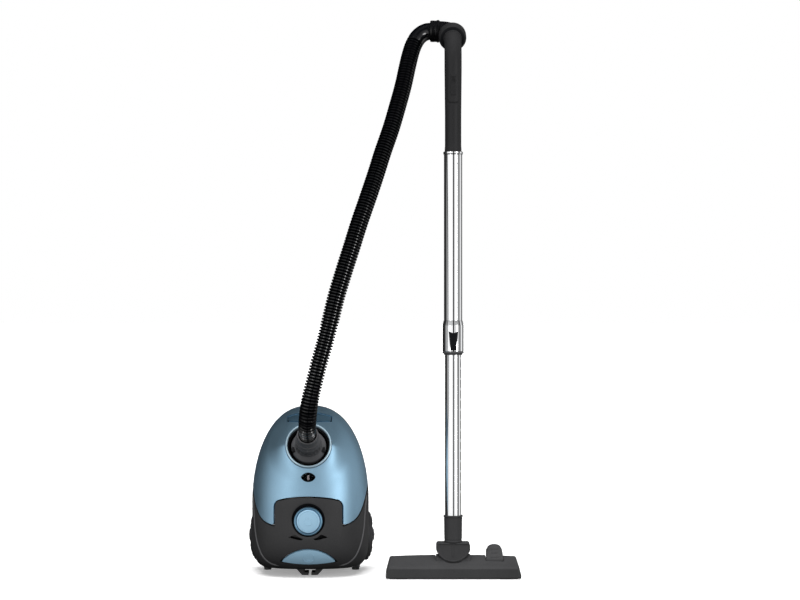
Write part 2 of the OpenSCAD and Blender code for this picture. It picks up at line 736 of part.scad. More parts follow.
module floor_pedal() color("#47474a") at_wand() difference() {
    intersection() {
        translate([pedal_x - 17, 0, 0]) rotate([90, 0, 90]) linear_extrude(34)
            polygon([[-8, 26], [-9, 33], [-7.5, 37], [10, 51], [20, 59.5], [25, 62], [30, 58], [29, 50], [14, 26],
                [4, 20]]);
        translate([pedal_x, 40, 0]) rotate([90, 0, 0]) linear_extrude(80)
            hull() {
                translate([0, 47]) circle(r = 15, $fn = 96);
                translate([-17, 18]) square([34, 8]);
            }
    }
    translate(pedal_pin_pos) bar_x(pedal_x - 24, pedal_x + 24, 1.9);
}
module pedal_pin() color("#a8aaad") at_wand() translate(pedal_pin_pos)
    bar_x(pedal_x - 22, pedal_x + 22, 1.85);

module head_rollers() color("#222224") at_wand() for (side = [-1, 1])
    translate([0, roller_y, roller_r]) difference() {
        bar_x(side * roller_x - 6, side * roller_x + 6, roller_r);
        bar_x(side * roller_x - 8, side * roller_x + 8, 2.05);
    }
module roller_axles() color("#a8aaad") at_wand() for (side = [-1, 1])
    translate([0, roller_y, roller_r]) bar_x(side * roller_x - 10, side * roller_x + 10, 2);

lower_housing();
rear_housing();
bulkhead();
filter_frame();
motor_filter();
fan_case();
motor_stator();
motor_mounts();
motor_rotor();
reel_bracket();
cord_drum();
rewind_spring();
power_switch();
cord_outlet_grommet();
exhaust_grille();
exhaust_filter();
bag_holder();
bag_collar();
dust_bag();
cover_seal();
hinge_pins();
housing_screws();
parking_bracket();
rear_feet();
wheel_axles();
left_wheel();
right_wheel();
wheel_caps();
castor_fork();
castor_wheel();
button_bezel();
power_button();
rewind_pedal();
dust_cover();
socket_ring();
socket_bowl();
window_lens();
bag_indicator();
cover_latch();
hose_cuff();
left_cuff_tab();
right_cuff_tab();
hose();
swivel_elbow();
handle();
air_slider();
upper_tube();
lock_collar();
tube_end_ring();
lock_button();
lower_tube();
neck();
yoke();
head_cover();
sole_plate();
brush_strips();
floor_pedal();
pedal_pin();
head_rollers();
roller_axles();
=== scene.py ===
"""Looks of a canister vacuum cleaner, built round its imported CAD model.

Lengths are millimetres in each sub-part's own frame, and pieces are made in metres in the row frame.
"""

import math

import bmesh
import bpy
import numpy as np
from mathutils import Matrix, Vector


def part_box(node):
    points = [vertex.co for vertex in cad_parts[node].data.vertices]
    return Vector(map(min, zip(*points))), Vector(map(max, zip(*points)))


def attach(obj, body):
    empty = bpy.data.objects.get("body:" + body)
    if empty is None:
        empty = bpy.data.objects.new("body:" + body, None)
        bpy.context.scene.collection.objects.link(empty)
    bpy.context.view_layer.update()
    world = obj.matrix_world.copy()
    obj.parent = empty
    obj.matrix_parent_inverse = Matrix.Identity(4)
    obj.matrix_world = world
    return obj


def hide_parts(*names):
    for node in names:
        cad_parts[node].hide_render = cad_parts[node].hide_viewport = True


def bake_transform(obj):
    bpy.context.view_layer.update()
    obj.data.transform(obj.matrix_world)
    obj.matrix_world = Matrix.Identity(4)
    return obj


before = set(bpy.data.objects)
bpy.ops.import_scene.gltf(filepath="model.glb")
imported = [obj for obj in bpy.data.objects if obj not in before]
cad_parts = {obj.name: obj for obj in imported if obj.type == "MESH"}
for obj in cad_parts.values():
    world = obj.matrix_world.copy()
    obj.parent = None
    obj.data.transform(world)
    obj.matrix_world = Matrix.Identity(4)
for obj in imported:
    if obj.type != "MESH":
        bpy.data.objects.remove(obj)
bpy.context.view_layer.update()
scene = bpy.context.scene
MM = 0.001


# Places, worked out from the CAD nodes.

def middle(node):
    low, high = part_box(node)
    return (low + high) / 2 / MM


def shift(x, y, z):
    return Matrix.Translation((x, y, z))


def turn(angle, axis):
    return Matrix.Rotation(math.radians(angle), 4, axis)


WHEEL_Y, WHEEL_Z, WHEEL_IN = 54, 70, 103
CANISTER = shift(middle("wheel_axles").x, middle("wheel_axles").y - WHEEL_Y, 0)
WAND = shift(middle("lower_tube").x, middle("lower_tube").y, 0)
TO_VIEWER = turn(90, "X")
ALONG_X = turn(90, "Y") @ turn(90, "Z")
SIDES = ((-1, "left"), (1, "right"))
SOCKET_TILT = 28
SOCKET_AT = np.array((0, -84, 259))
SOCKET = CANISTER @ shift(*SOCKET_AT) @ turn(90 - SOCKET_TILT, "X")
BEND_Z, BEND_R, BEND_SWEEP = 1003, 55, 65
HANDLE_END = WAND @ shift(0, BEND_R, BEND_Z) @ turn(-BEND_SWEEP, "X") @ shift(0, -BEND_R, 0)


def placed(points, at):
    matrix = np.array(at)
    return np.asarray(points, float) @ matrix[:3, :3].T + matrix[:3, 3]


# The camera looks along +Y, level, at half the wand's height.

def make_camera():
    distance, height, aim_x, lens = 3.8, 0.54, 0.0345, 87.7
    camera = bpy.data.objects.new("camera", bpy.data.cameras.new("camera"))
    camera.data.lens = lens
    camera.location = (aim_x, placed([(0, 0, 0)], WAND)[0, 1] * MM - distance, height)
    camera.rotation_euler = (math.radians(90), 0, 0)
    scene.collection.objects.link(camera)
    scene.camera = camera


make_camera()


# Shapes: each is a list of points and a list of faces.

def unit(v):
    return v / np.maximum(np.linalg.norm(v, axis=-1, keepdims=True), 1e-9)


def rounded(corners, closed=True, steps=5):
    """Outline through (x, y, rounding) corners, each turned into an arc of that radius."""
    points = []
    for i, (x, y, radius) in enumerate(corners):
        here = np.array((x, y), float)
        if not radius or (not closed and i in (0, len(corners) - 1)):
            points.append(here)
            continue
        before = unit(np.array(corners[i - 1][:2]) - here)
        after = unit(np.array(corners[(i + 1) % len(corners)][:2]) - here)
        half = math.acos(float(np.clip(before @ after, -1, 1))) / 2
        middle_of_arc = here + unit(before + after) * radius / math.sin(half)
        start = here + before * radius / math.tan(half) - middle_of_arc
        end = here + after * radius / math.tan(half) - middle_of_arc
        sweep = math.pi - 2 * half
        for k in range(steps + 1):
            a = sweep * k / steps
            points.append(middle_of_arc + (start * math.sin(sweep - a) + end * math.sin(a)) / math.sin(sweep))
    return np.array(points)


def grid_faces(rows, columns, close_rows=False, close_columns=True):
    """Quads of a grid of points, stored row by row."""
    faces = []
    for i in range(rows if close_rows else rows - 1):
        for j in range(columns if close_columns else columns - 1):
            a, b = i * columns, (i + 1) % rows * columns
            k = (j + 1) % columns
            faces.append((a + j, a + k, b + k, b + j))
    return faces


def loft(rings):
    """Closed solid through rings of points, with flat ends."""
    rings = np.asarray(rings, float)
    rows, columns = rings.shape[:2]
    ends = [tuple(range(columns)), tuple(range((rows - 1) * columns, rows * columns))]
    return rings.reshape(-1, 3), grid_faces(rows, columns) + ends


def lathe(corners, angles=None, wave=None):
    """Solid of revolution about z, through (radius, height, rounding) corners.
    An outline that starts on the axis ends on it too."""
    hollow = corners[0][0] > 0
    profile = rounded(corners, closed=hollow)
    angles = np.radians(np.arange(0, 360, 3.75) if angles is None else angles)
    radius = np.repeat(profile[:, 0][:, None], len(angles), 1)
    height = np.repeat(profile[:, 1][:, None], len(angles), 1)
    if wave:
        radius, height = wave(radius, height, angles[None, :])
    points = np.stack([radius * np.cos(angles), radius * np.sin(angles), height], -1)
    return points.reshape(-1, 3), grid_faces(len(profile), len(angles), close_rows=hollow)


def grown(outline, amount):
    """A closed 2-D outline, counter-clockwise, moved outwards by an amount."""
    before, after = outline - np.roll(outline, 1, 0), np.roll(outline, -1, 0) - outline
    normals = [np.stack([e[:, 1], -e[:, 0]], -1) for e in (unit(before), unit(after))]
    side = unit(normals[0] + normals[1])
    return outline + side * amount / np.maximum((side * normals[0]).sum(1, keepdims=True), 0.5)


def slab(outline, levels):
    """Solid with a closed 2-D outline, lofted through (height, growth) levels."""
    return loft([np.column_stack([grown(outline, g), np.full(len(outline), z)]) for z, g in levels])


def soft_slab(outline, low, high, edge):
    """A slab with rounded edges at both ends."""
    arc = [math.radians(a) for a in (0, 30, 60, 90)]
    bottom = [(low + edge * (1 - math.sin(a)), -edge * (1 - math.cos(a))) for a in reversed(arc)]
    top = [(high - edge * (1 - math.sin(a)), -edge * (1 - math.cos(a))) for a in arc]
    return slab(outline, bottom + top)


def rectangle(half_x, half_y, radius, x=0, y=0):
    """Outline of a rectangle round (x, y) with rounded corners."""
    signs = (-1, -1), (1, -1), (1, 1), (-1, 1)
    return rounded([(x + i * half_x, y + j * half_y, radius) for i, j in signs])


def block(half_x, half_y, radius, low, high, edge, x=0, y=0):
    """A soft slab over a rounded rectangle."""
    return soft_slab(rectangle(half_x, half_y, radius, x, y), low, high, edge)


def along(points, step):
    """A smooth curve through points, resampled evenly about a step apart."""
    p = np.asarray(points, float)
    p = np.vstack([2 * p[0] - p[1], p, 2 * p[-1] - p[-2]])
    t = np.linspace(0, 1, 24, endpoint=False)[:, None]
    runs = []
    for a, b, c, d in zip(p, p[1:], p[2:], p[3:]):
        runs.append(0.5 * (2 * b + (c - a) * t + (2 * a - 5 * b + 4 * c - d) * t ** 2
                           + (3 * b - a - 3 * c + d) * t ** 3))
    fine = np.vstack(runs + [p[-2:-1]])
    reach = np.concatenate([[0], np.cumsum(np.linalg.norm(np.diff(fine, axis=0), axis=1))])
    even = np.linspace(0, reach[-1], max(2, round(reach[-1] / step) + 1))
    return np.stack([np.interp(even, reach, fine[:, k]) for k in range(3)], 1), even


def sweep(path, radii, sides=32, start_side=(0, 0, 1)):
    """Closed tube round a path. Radii hold one number, or one for each side, at each point."""
    tangents = unit(np.gradient(path, axis=0))
    across = np.array(start_side, float)
    angles = np.linspace(0, 2 * math.pi, sides, endpoint=False)[:, None]
    rings = []
    for point, tangent, radius in zip(path, tangents, radii):
        across = unit(across - tangent * (across @ tangent))
        other = np.cross(tangent, across)
        size = np.reshape(radius, (-1, 1))
        rings.append(point + size * (np.cos(angles) * across + np.sin(angles) * other))
    return loft(rings)


def together(*shapes):
    """Several shapes as one."""
    points, faces, count = [], [], 0
    for shape_points, shape_faces in shapes:
        points.append(np.asarray(shape_points, float))
        faces += [tuple(i + count for i in face) for face in shape_faces]
        count += len(shape_points)
    return np.vstack(points), faces


def moved(shape, at):
    return placed(shape[0], at), shape[1]


def piece(name, shape, finish, body, at=CANISTER, stands_for=(), sharp=38):
    """Makes a mesh object from a shape and lets it ride on a CAD body."""
    mesh = bpy.data.meshes.new(name)
    mesh.from_pydata((placed(shape[0], at) * MM).tolist(), [], [tuple(map(int, f)) for f in shape[1]])
    work = bmesh.new()
    work.from_mesh(mesh)
    bmesh.ops.remove_doubles(work, verts=work.verts, dist=3e-6)
    bmesh.ops.recalc_face_normals(work, faces=work.faces)
    for face in work.faces:
        face.smooth = True
    work.to_mesh(mesh)
    work.free()
    mesh.set_sharp_from_angle(angle=math.radians(sharp))
    made = bpy.data.objects.new(name, mesh)
    scene.collection.objects.link(made)
    mesh.materials.append(finish)
    if body:
        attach(made, body)
    if stands_for:
        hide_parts(*stands_for)
    return made


# Skins: points, normals and faces of a surface that is trimmed before it gets its thickness.

SNAP = 0.45


def cut(skin, field):
    """Trims a skin to where the field, in millimetres, is positive."""
    points, normals, faces = skin
    value = field(points)
    step = 0.01
    slope = np.stack([(field(points + step * axis) - value) / step for axis in np.eye(3)], 1)
    slope -= (slope * normals).sum(1, keepdims=True) * normals
    size = np.maximum((slope ** 2).sum(1, keepdims=True), 0.1)
    near = np.abs(value) < SNAP
    points = np.where(near[:, None], points - value[:, None] * slope / size, points)
    side = np.where(near, 0, np.sign(value)).astype(int)
    crossings, new_points, new_normals, kept = {}, [], [], []

    def crossing(a, b):
        key = (min(a, b), max(a, b))
        if key not in crossings:
            share = value[a] / (value[a] - value[b])
            crossings[key] = len(points) + len(new_points)
            new_points.append(points[a] + share * (points[b] - points[a]))
            new_normals.append(normals[a] + share * (normals[b] - normals[a]))
        return crossings[key]

    for face in faces:
        if max(side[i] for i in face) <= 0:
            continue
        loop = []
        for a, b in zip(face, face[1:] + face[:1]):
            if side[a] >= 0:
                loop.append(a)
            if side[a] * side[b] < 0:
                loop.append(crossing(a, b))
        if len(loop) > 2:
            kept.append(tuple(loop))
    if new_points:
        points, normals = np.vstack([points, new_points]), unit(np.vstack([normals, new_normals]))
    return points, normals, kept


def trimmed(skin, *fields):
    for field in fields:
        skin = cut(skin, field)
    used = sorted({i for face in skin[2] for i in face})
    place = {old: new for new, old in enumerate(used)}
    return skin[0][used], skin[1][used], [tuple(place[i] for i in face) for face in skin[2]]


def relief(skin, depth):
    """Presses a skin in by depth, a function of its points."""
    return skin[0] - skin[1] * depth(skin[0])[:, None], skin[1], skin[2]


def rolled(skin, radius, wall, steps=3):
    """Solid of a skin: its open edges roll over by the radius, and its inside lies one wall further in."""
    points, normals, faces = skin
    directed = {(a, b) for f in faces for a, b in zip(f, f[1:] + f[:1])}
    border = sorted((a, b) for a, b in directed if (b, a) not in directed)
    rim = sorted({i for edge in border for i in edge})
    place = {v: i for i, v in enumerate(rim)}
    out = np.zeros((len(rim), 3))
    for a, b in border:
        side = unit(np.cross(points[b] - points[a], normals[a] + normals[b]))
        out[place[a]] += side
        out[place[b]] += side
    reach = np.linalg.norm(out, axis=1, keepdims=True)
    out = unit(out) * np.minimum(2 / np.maximum(reach, 0.1), 1.5) * radius
    base, normal = points[rim], normals[rim]
    rows = [base + out * math.sin(a) - normal * radius * (1 - math.cos(a))
            for a in np.linspace(0, math.pi / 2, steps + 1)[1:]]
    rows.append(base + out - normal * wall)
    count, width = len(points), len(rim)
    inner = count + width * len(rows)
    made = list(faces) + [tuple(inner + i for i in reversed(f)) for f in faces]
    starts = [count + width * k for k in range(len(rows))]
    for a, b in border:
        column = [[a, b]] + [[start + place[a], start + place[b]] for start in starts]
        column.append([inner + a, inner + b])
        made += [(low[1], low[0], high[0], high[1]) for low, high in zip(column, column[1:])]
    return np.vstack([points, *rows, points - normals * wall]), made


def ring_field(x, z, radius, axes=(0, 2)):
    """Distance outside a circle, seen along the remaining axis."""
    return lambda p: np.hypot(p[:, axes[0]] - x, p[:, axes[1]] - z) - radius


def outline_field(outline, axes=(0, 2)):
    """Distance outside a closed outline, seen along the remaining axis."""
    a = np.asarray(outline, float)
    e = np.roll(a, -1, 0) - a

    def field(p):
        w = p[:, list(axes)][:, None] - a[None]
        t = np.clip((w * e).sum(-1) / (e * e).sum(-1), 0, 1)
        gap = np.linalg.norm(w - t[..., None] * e, axis=-1).min(1)
        above = (w[:, :, 1] >= 0) != (np.roll(w[:, :, 1], -1, 1) >= 0)
        left = w[:, :, 0] < w[:, :, 1] * e[:, 0] / np.where(e[:, 1] == 0, 1e-9, e[:, 1])
        inside = (above & left).sum(1) % 2 == 1
        return np.where(inside, -gap, gap)
    return field


def less(field, amount):
    return lambda p: field(p) - amount


def minus(field, amount=0.0):
    return lambda p: -field(p) - amount


# Materials.

def srgb(*parts):
    """A linear colour, from red, green and blue parts of 0 to 255."""
    linear = [((c / 255 + 0.055) / 1.055) ** 2.4 if c > 10 else c / 255 / 12.92 for c in parts]
    return (*linear, 1)


def shade(colour, factor):
    return tuple(min(1.0, c * factor) for c in colour[:3]) + (1,)


def material(name, colour, rough, metal=0.0, coat=0.0, grain=0.0, grain_size=0.5, drift=0.08, fleck=0.0,
             streak=(1, 1, 1), spread=0.06, specular=0.5):
    """Procedural finish. The colour drifts and is flecked, the roughness varies by the spread, and a fine
    grain, its size in millimetres, lifts the surface. Streak stretches the drift along the axes."""
    made = bpy.data.materials.new(name)
    made.use_nodes = True
    nodes, links = made.node_tree.nodes, made.node_tree.links
    shader = nodes["Principled BSDF"]
    shader.inputs["Metallic"].default_value = metal
    shader.inputs["Coat Weight"].default_value = coat
    shader.inputs["Coat Roughness"].default_value = 0.08
    shader.inputs["Specular IOR Level"].default_value = specular
    coords = nodes.new("ShaderNodeTexCoord")
    stretch = nodes.new("ShaderNodeMapping")
    stretch.inputs["Scale"].default_value = streak
    links.new(coords.outputs["Object"], stretch.inputs["Vector"])

    def noise(scale, detail, vector):
        made_noise = nodes.new("ShaderNodeTexNoise")
        made_noise.inputs["Scale"].default_value = scale
        made_noise.inputs["Detail"].default_value = detail
        links.new(vector, made_noise.inputs["Vector"])
        return made_noise.outputs["Fac"]

    broad = noise(14, 5, stretch.outputs["Vector"])
    fine = noise(0.45 / (grain_size * MM), 3, coords.outputs["Object"])
    tone = nodes.new("ShaderNodeValToRGB")
    tone.color_ramp.elements[0].position, tone.color_ramp.elements[1].position = 0.3, 0.7
    tone.color_ramp.elements[0].color = shade(colour, 1 - drift)
    tone.color_ramp.elements[1].color = shade(colour, 1 + drift)
    links.new(broad, tone.inputs["Fac"])
    speck = nodes.new("ShaderNodeValToRGB")
    speck.color_ramp.elements[0].position, speck.color_ramp.elements[1].position = 0.4, 0.62
    speck.color_ramp.elements[0].color = shade((1, 1, 1), 1 - fleck)
    speck.color_ramp.elements[1].color = (1, 1, 1, 1)
    links.new(fine, speck.inputs["Fac"])
    mix = nodes.new("ShaderNodeMix")
    mix.data_type, mix.blend_type = "RGBA", "MULTIPLY"
    mix.inputs["Factor"].default_value = 1
    links.new(tone.outputs["Color"], mix.inputs["A"])
    links.new(speck.outputs["Color"], mix.inputs["B"])
    links.new(mix.outputs["Result"], shader.inputs["Base Color"])
    polish = nodes.new("ShaderNodeMapRange")
    polish.inputs["From Min"].default_value, polish.inputs["From Max"].default_value = 0.25, 0.75
    polish.inputs["To Min"].default_value = max(0.02, rough - spread)
    polish.inputs["To Max"].default_value = rough + spread
    links.new(broad, polish.inputs["Value"])
    links.new(polish.outputs["Result"], shader.inputs["Roughness"])
    if grain:
        bump = nodes.new("ShaderNodeBump")
        bump.inputs["Strength"].default_value = grain
        bump.inputs["Distance"].default_value = 0.12 * MM
        links.new(fine, bump.inputs["Height"])
        links.new(bump.outputs["Normal"], shader.inputs["Normal"])
    return made


PAINT = {"metal": 0.94, "fleck": 0.10, "grain_size": 0.35, "drift": 0.03, "grain": 0.05}
MOULDED = {"grain": 0.30, "grain_size": 0.7, "fleck": 0.12}
SMOOTH = {"grain": 0.2, "grain_size": 0.6, "drift": 0.1, "fleck": 0.1}
ELASTIC = {"grain": 0.35, "grain_size": 0.9, "drift": 0.15, "fleck": 0.15}

LACQUER = material("blue_lacquer", srgb(160, 198, 222), 0.5, **PAINT)
LATCH_BLUE = material("latch_blue", srgb(126, 166, 192), 0.46, **PAINT)
ACCENT = material("accent_blue", srgb(152, 190, 214), 0.42, metal=0.1, coat=0.1, specular=0.3, drift=0.03,
                  fleck=0.04, grain=0.08)
TRIM = material("trim_blue", srgb(176, 202, 216), 0.3, metal=0.3, coat=0.2, drift=0.03, fleck=0.03, grain=0.05)
HOUSING = material("housing_plastic", srgb(56, 56, 57), 0.48, specular=0.14, **MOULDED)
HEAD = material("head_plastic", srgb(60, 60, 61), 0.44, drift=0.1, specular=0.05, **MOULDED)
INNER = material("inner_plastic", srgb(46, 46, 48), 0.5, grain=0.25, grain_size=0.6, drift=0.1, fleck=0.1)
CUFF = material("cuff_plastic", srgb(84, 84, 86), 0.42, grain=0.2, fleck=0.08, specular=0.2)
GRIP = material("handle_plastic", srgb(42, 42, 43), 0.5, grain=0.35, grain_size=0.6, fleck=0.12, specular=0.12)
GLOSS = material("black_gloss", srgb(14, 14, 16), 0.2, coat=0.1, drift=0.1, spread=0.04, specular=0.25)
BLACK = material("black_plastic", srgb(26, 26, 28), 0.4, specular=0.2, **SMOOTH)
SATIN = material("satin_black", srgb(14, 15, 18), 0.5, specular=0.12, **SMOOTH)
HOSE_BLACK = material("hose_plastic", srgb(8, 9, 12), 0.16, drift=0.15, fleck=0.1, spread=0.03, specular=0.6)
RUBBER = material("rubber", srgb(30, 30, 31), 0.62, **ELASTIC)
TYRE = material("tyre_rubber", srgb(44, 44, 46), 0.55, **ELASTIC)
CHROME = material("chrome", (0.86, 0.87, 0.88, 1), 0.05, metal=1, drift=0.01, spread=0.02, streak=(1, 1, 0.1))
STEEL = material("zinc_steel", (0.52, 0.53, 0.55, 1), 0.34, metal=1, drift=0.12, grain=0.1, fleck=0.1)
COPPER = material("copper_winding", srgb(176, 104, 58), 0.36, metal=0.9, drift=0.2, fleck=0.3, grain=0.4,
                  grain_size=0.6, streak=(1, 1, 6))
WHITE = material("white_plastic", srgb(205, 204, 198), 0.42, grain=0.15, grain_size=0.6, drift=0.04,
                 fleck=0.03)
FLEECE = material("filter_fleece", srgb(222, 219, 208), 0.9, grain=1.0, drift=0.06, fleck=0.18)
PAPER = material("bag_fleece", srgb(214, 205, 184), 0.88, grain=0.9, grain_size=0.35, drift=0.07, fleck=0.12)
CARD = material("bag_card", srgb(172, 142, 100), 0.8, grain=0.5, fleck=0.16, streak=(1, 1, 5))
BRISTLE = material("bristle", srgb(22, 22, 23), 0.6, grain=0.3, grain_size=0.4, drift=0.2, fleck=0.3)
RED = material("indicator_red", srgb(206, 190, 184), 0.35, drift=0.04, grain=0.1)


def smoked_glass():
    made = material("smoked_lens", srgb(190, 192, 196), 0.05, spread=0.02, drift=0.03, specular=0.12)
    shader = made.node_tree.nodes["Principled BSDF"]
    shader.inputs["Transmission Weight"].default_value = 1.0
    shader.inputs["IOR"].default_value = 1.12
    return made


SMOKED = smoked_glass()


# The hose comes first among the pieces: its route repeats the CAD model's.

HOSE_D = 34
HOSE_ROUTE = [
    (0, -128.6, 282.8), (0, -140, 289), (0.5, -152, 297), (1.5, -162, 309), (3, -170, 324),
    (5.5, -175, 342), (9.5, -178, 362), (16.5, -179, 390), (24.5, -178, 422), (34.5, -174, 458),
    (44.5, -169, 498), (55.5, -161, 544), (69.5, -151, 592), (84.5, -139, 640), (98.5, -126, 686),
    (114.5, -111, 734), (129.5, -95, 780), (143.5, -79, 826), (159.5, -61, 874), (172.5, -44, 920),
    (183.5, -27, 962), (191.5, -12, 1000), (197.5, 0, 1026), (203.5, 9, 1045), (211.5, 16, 1060),
    (220.5, 20, 1069), (230.5, 21.9, 1073.9), (239.7, 22, 1074.6)
]


def make_hose():
    pitch, ridge, plain, sleeve = 5.8, 4.6, 6.0, 44.0
    route, reach = along(HOSE_ROUTE, 4.5)
    total = reach[-1]
    crests = np.arange(plain, total - sleeve, pitch)
    fold = ((-0.5, 1.0), (-0.22, 0.16), (-0.15, 0.0), (0.15, 0.0), (0.22, 0.16))
    steps = [(c + share * pitch, depth) for c in crests for share, depth in fold]
    steps = [(0, 0)] + steps + [(total - k, 0) for k in np.linspace(sleeve - 5, 0, 14)]
    places, depths = np.array(steps).T
    depths[places < plain + pitch] = np.maximum(depths[places < plain + pitch], 0.25)
    line = np.stack([np.interp(places, reach, route[:, k]) for k in range(3)], 1)
    hose = piece("corrugated_hose", sweep(line, HOSE_D / 2 - ridge * depths, 40), HOSE_BLACK, None,
                 stands_for=("hose",), sharp=35)
    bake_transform(hose)


make_hose()


# The canister's outer form. Its widths and depths fall off above the shoulder and below the waist.

HALF_W, FRONT, BACK, FLOOR, CROWN = 115, 102, 84, 15, 331
SHOULDER_Z, CROWN_Z, GAP, WALL, ROLL = 141, 130, 0.4, 3.0, 0.9
FRONT_POWER, BACK_POWER = 2.3, 3.5


def fall(z, start, reach, p, q):
    return np.power(1 - np.clip((z - start) / reach, 0, 1) ** p, 1 / q)


def form_sizes(z):
    """Half width, front depth and back depth at a height."""
    z = np.asarray(z, float)
    half = HALF_W * fall(z, SHOULDER_Z, CROWN - SHOULDER_Z, 2, 2.4) * fall(-z, -SHOULDER_Z, 140, 8, 3)
    front = FRONT * fall(z, CROWN_Z, CROWN - CROWN_Z, 2, 2.2) * fall(-z, -CROWN_Z, 125, 4, 2.5)
    back = BACK * fall(z, CROWN_Z, CROWN - CROWN_Z, 3, 3) * fall(-z, -CROWN_Z, 125, 8, 4)
    return half, front, back


def front_y(x, z):
    """The front surface's Y at a place seen from the front."""
    half, front, _ = form_sizes(z)
    inside = np.clip(1 - np.abs(x / half) ** FRONT_POWER, 0, 1)
    return -front * inside ** (1 / FRONT_POWER)


def signed_power(v, p):
    return np.sign(v) * np.abs(v) ** p


def form_skin(side, inset=0.0, step=3.2):
    """The front (-1) or back (1) half of the form, as a grid of quads that are about a step wide."""
    power = FRONT_POWER if side < 0 else BACK_POWER
    fine = np.linspace(0, math.pi, 3001)
    waist = np.stack([HALF_W * signed_power(np.cos(fine), 2 / power),
                      (FRONT if side < 0 else BACK) * signed_power(np.sin(fine), 2 / power)], 1)
    reach = np.concatenate([[0], np.cumsum(np.linalg.norm(np.diff(waist, axis=0), axis=1))])
    columns = round(reach[-1] / step)
    a = np.interp(np.linspace(0, reach[-1], columns), reach, fine)
    edge = 5.0
    rows = [(FLOOR, edge, s) for s in np.linspace(0, 1, round(70 / step))[1:]]
    rows += [(FLOOR + edge * (1 - math.cos(t)), edge * (1 - math.sin(t)), 1)
             for t in np.linspace(0, math.pi / 2, 6)[1:]]
    rows += [(z, 0, 1) for z in np.linspace(FLOOR + edge, SHOULDER_Z, round(121 / step))[1:]]
    rows += [(SHOULDER_Z + (CROWN - SHOULDER_Z) * math.sin(t), 0, 1)
             for t in np.linspace(0, math.pi / 2, round(270 / step))[1:]]
    z, rounding, scale = (np.array(v)[:, None] for v in zip(*rows))
    half, front, back = form_sizes(z)
    depth = (front if side < 0 else back) - rounding
    x = scale * (half - rounding) * signed_power(np.cos(a), 2 / power)
    y = side * scale * depth * signed_power(np.sin(a), 2 / power)
    grid = np.stack([x, y, np.broadcast_to(z, x.shape)], -1)
    normals = unit(np.cross(np.gradient(grid, axis=1), np.gradient(grid, axis=0)))
    normals[:, [0, -1], 1] = 0
    normals[-1] = (0, 0, 1)
    normals = unit(normals)
    centre = np.array((0, 0, 150))
    flip = np.sign(((grid - centre) * normals).sum(-1, keepdims=True))
    normals *= np.where(flip == 0, 1, flip)
    points = grid - normals * inset
    faces = grid_faces(len(rows), columns, close_columns=False)
    if side > 0:
        faces = [tuple(reversed(f)) for f in faces]
    return points.reshape(-1, 3), normals.reshape(-1, 3), faces


def bead(line, normals, width, height):
    """A low rounded rib along a line that lies on a surface."""
    tangents = unit(np.gradient(line, axis=0))
    sides = unit(np.cross(tangents, normals))
    arc = np.linspace(0, math.pi, 9)
    swell = np.clip(np.minimum(np.arange(len(line)), np.arange(len(line))[::-1]) / 3, 0.15, 1)
    rings = [point + s * (np.cos(arc)[:, None] * side * width / 2
                          + (np.sin(arc) * height - 0.4)[:, None] * normal)
             for point, side, normal, s in zip(line, sides, normals, swell)]
    return loft(rings)


def form_bead(places, width, height):
    """A bead on the canister's front, along places seen from the front."""
    line, _ = along([(x, 0, z) for x, z in places], 2.5)
    line[:, 1] = front_y(line[:, 0], line[:, 2])
    step = 0.05
    slope_x = (front_y(line[:, 0] + step, line[:, 2]) - line[:, 1]) / step
    slope_z = (front_y(line[:, 0], line[:, 2] + step) - line[:, 1]) / step
    normals = unit(np.stack([slope_x, -np.ones(len(line)), slope_z], 1))
    return bead(line, normals, width, height)


# Outlines on the canister's front.

TONGUE_HALF, TONGUE_TOP, TONGUE_CORNER, TONGUE_SAG, LOBE_LOW = 66.5, 160, 14, 6, 103


def lobe_edge(x):
    away = np.maximum(0, np.abs(x) - TONGUE_HALF - 0.5)
    return LOBE_LOW + 0.3 * away + 32.3 * (away / 41) ** 4.1


def rear_outline():
    """Edge of the rear housing: two scoops and a tongue in the middle."""
    left = [(x, lobe_edge(x)) for x in (-140, *np.arange(-125, -69, 2.5), -TONGUE_HALF)]
    corner = [(-TONGUE_HALF + TONGUE_CORNER * (1 + math.cos(a)),
               TONGUE_TOP - TONGUE_SAG + TONGUE_CORNER * (math.sin(a) - 1))
              for a in np.radians(np.arange(180, 89, -10))]
    crown = [(x, TONGUE_TOP - TONGUE_SAG * (x / 56) ** 2) for x in np.arange(-48, 0, 6)]
    half = left + corner + crown
    whole = half + [(0, TONGUE_TOP)] + [(-x, z) for x, z in reversed(half)]
    return np.array([(-140, -10)] + whole + [(140, -10)])


def lens_field(grow, r1, z1, r2, z2):
    """Overlap of two circles on the centre line, seen from the front."""
    one, two = ring_field(0, z1, r1 + grow), ring_field(0, z2, r2 + grow)
    return lambda p: np.maximum(one(p), two(p))


BUTTON_Z, PEDAL_Z, WINDOW_Z, WINDOW_R, WINDOW_OFF = 113, 43, 197, 15.9, 8.4
WELL_RIM, WELL_LIFT, WINDOW_LIFT = 31.6, 2.2, 2.6
LATCH_HALF, LATCH_LOW, LATCH_ARC_Z, LATCH_ARC_R = 43, 303, 200, 119
REAR = outline_field(rear_outline())


def pedal_field(grow):
    return lens_field(grow, 70, PEDAL_Z - 54.4, 273, PEDAL_Z + 256.5)


def window_field(grow):
    return lens_field(grow, WINDOW_R, WINDOW_Z - WINDOW_OFF, WINDOW_R, WINDOW_Z + WINDOW_OFF)


def latch_field(grow):
    arc = ring_field(0, LATCH_ARC_Z, LATCH_ARC_R + grow)
    return lambda p: np.maximum.reduce([arc(p), LATCH_LOW - grow - p[:, 2],
                                        np.abs(p[:, 0]) - LATCH_HALF - grow])


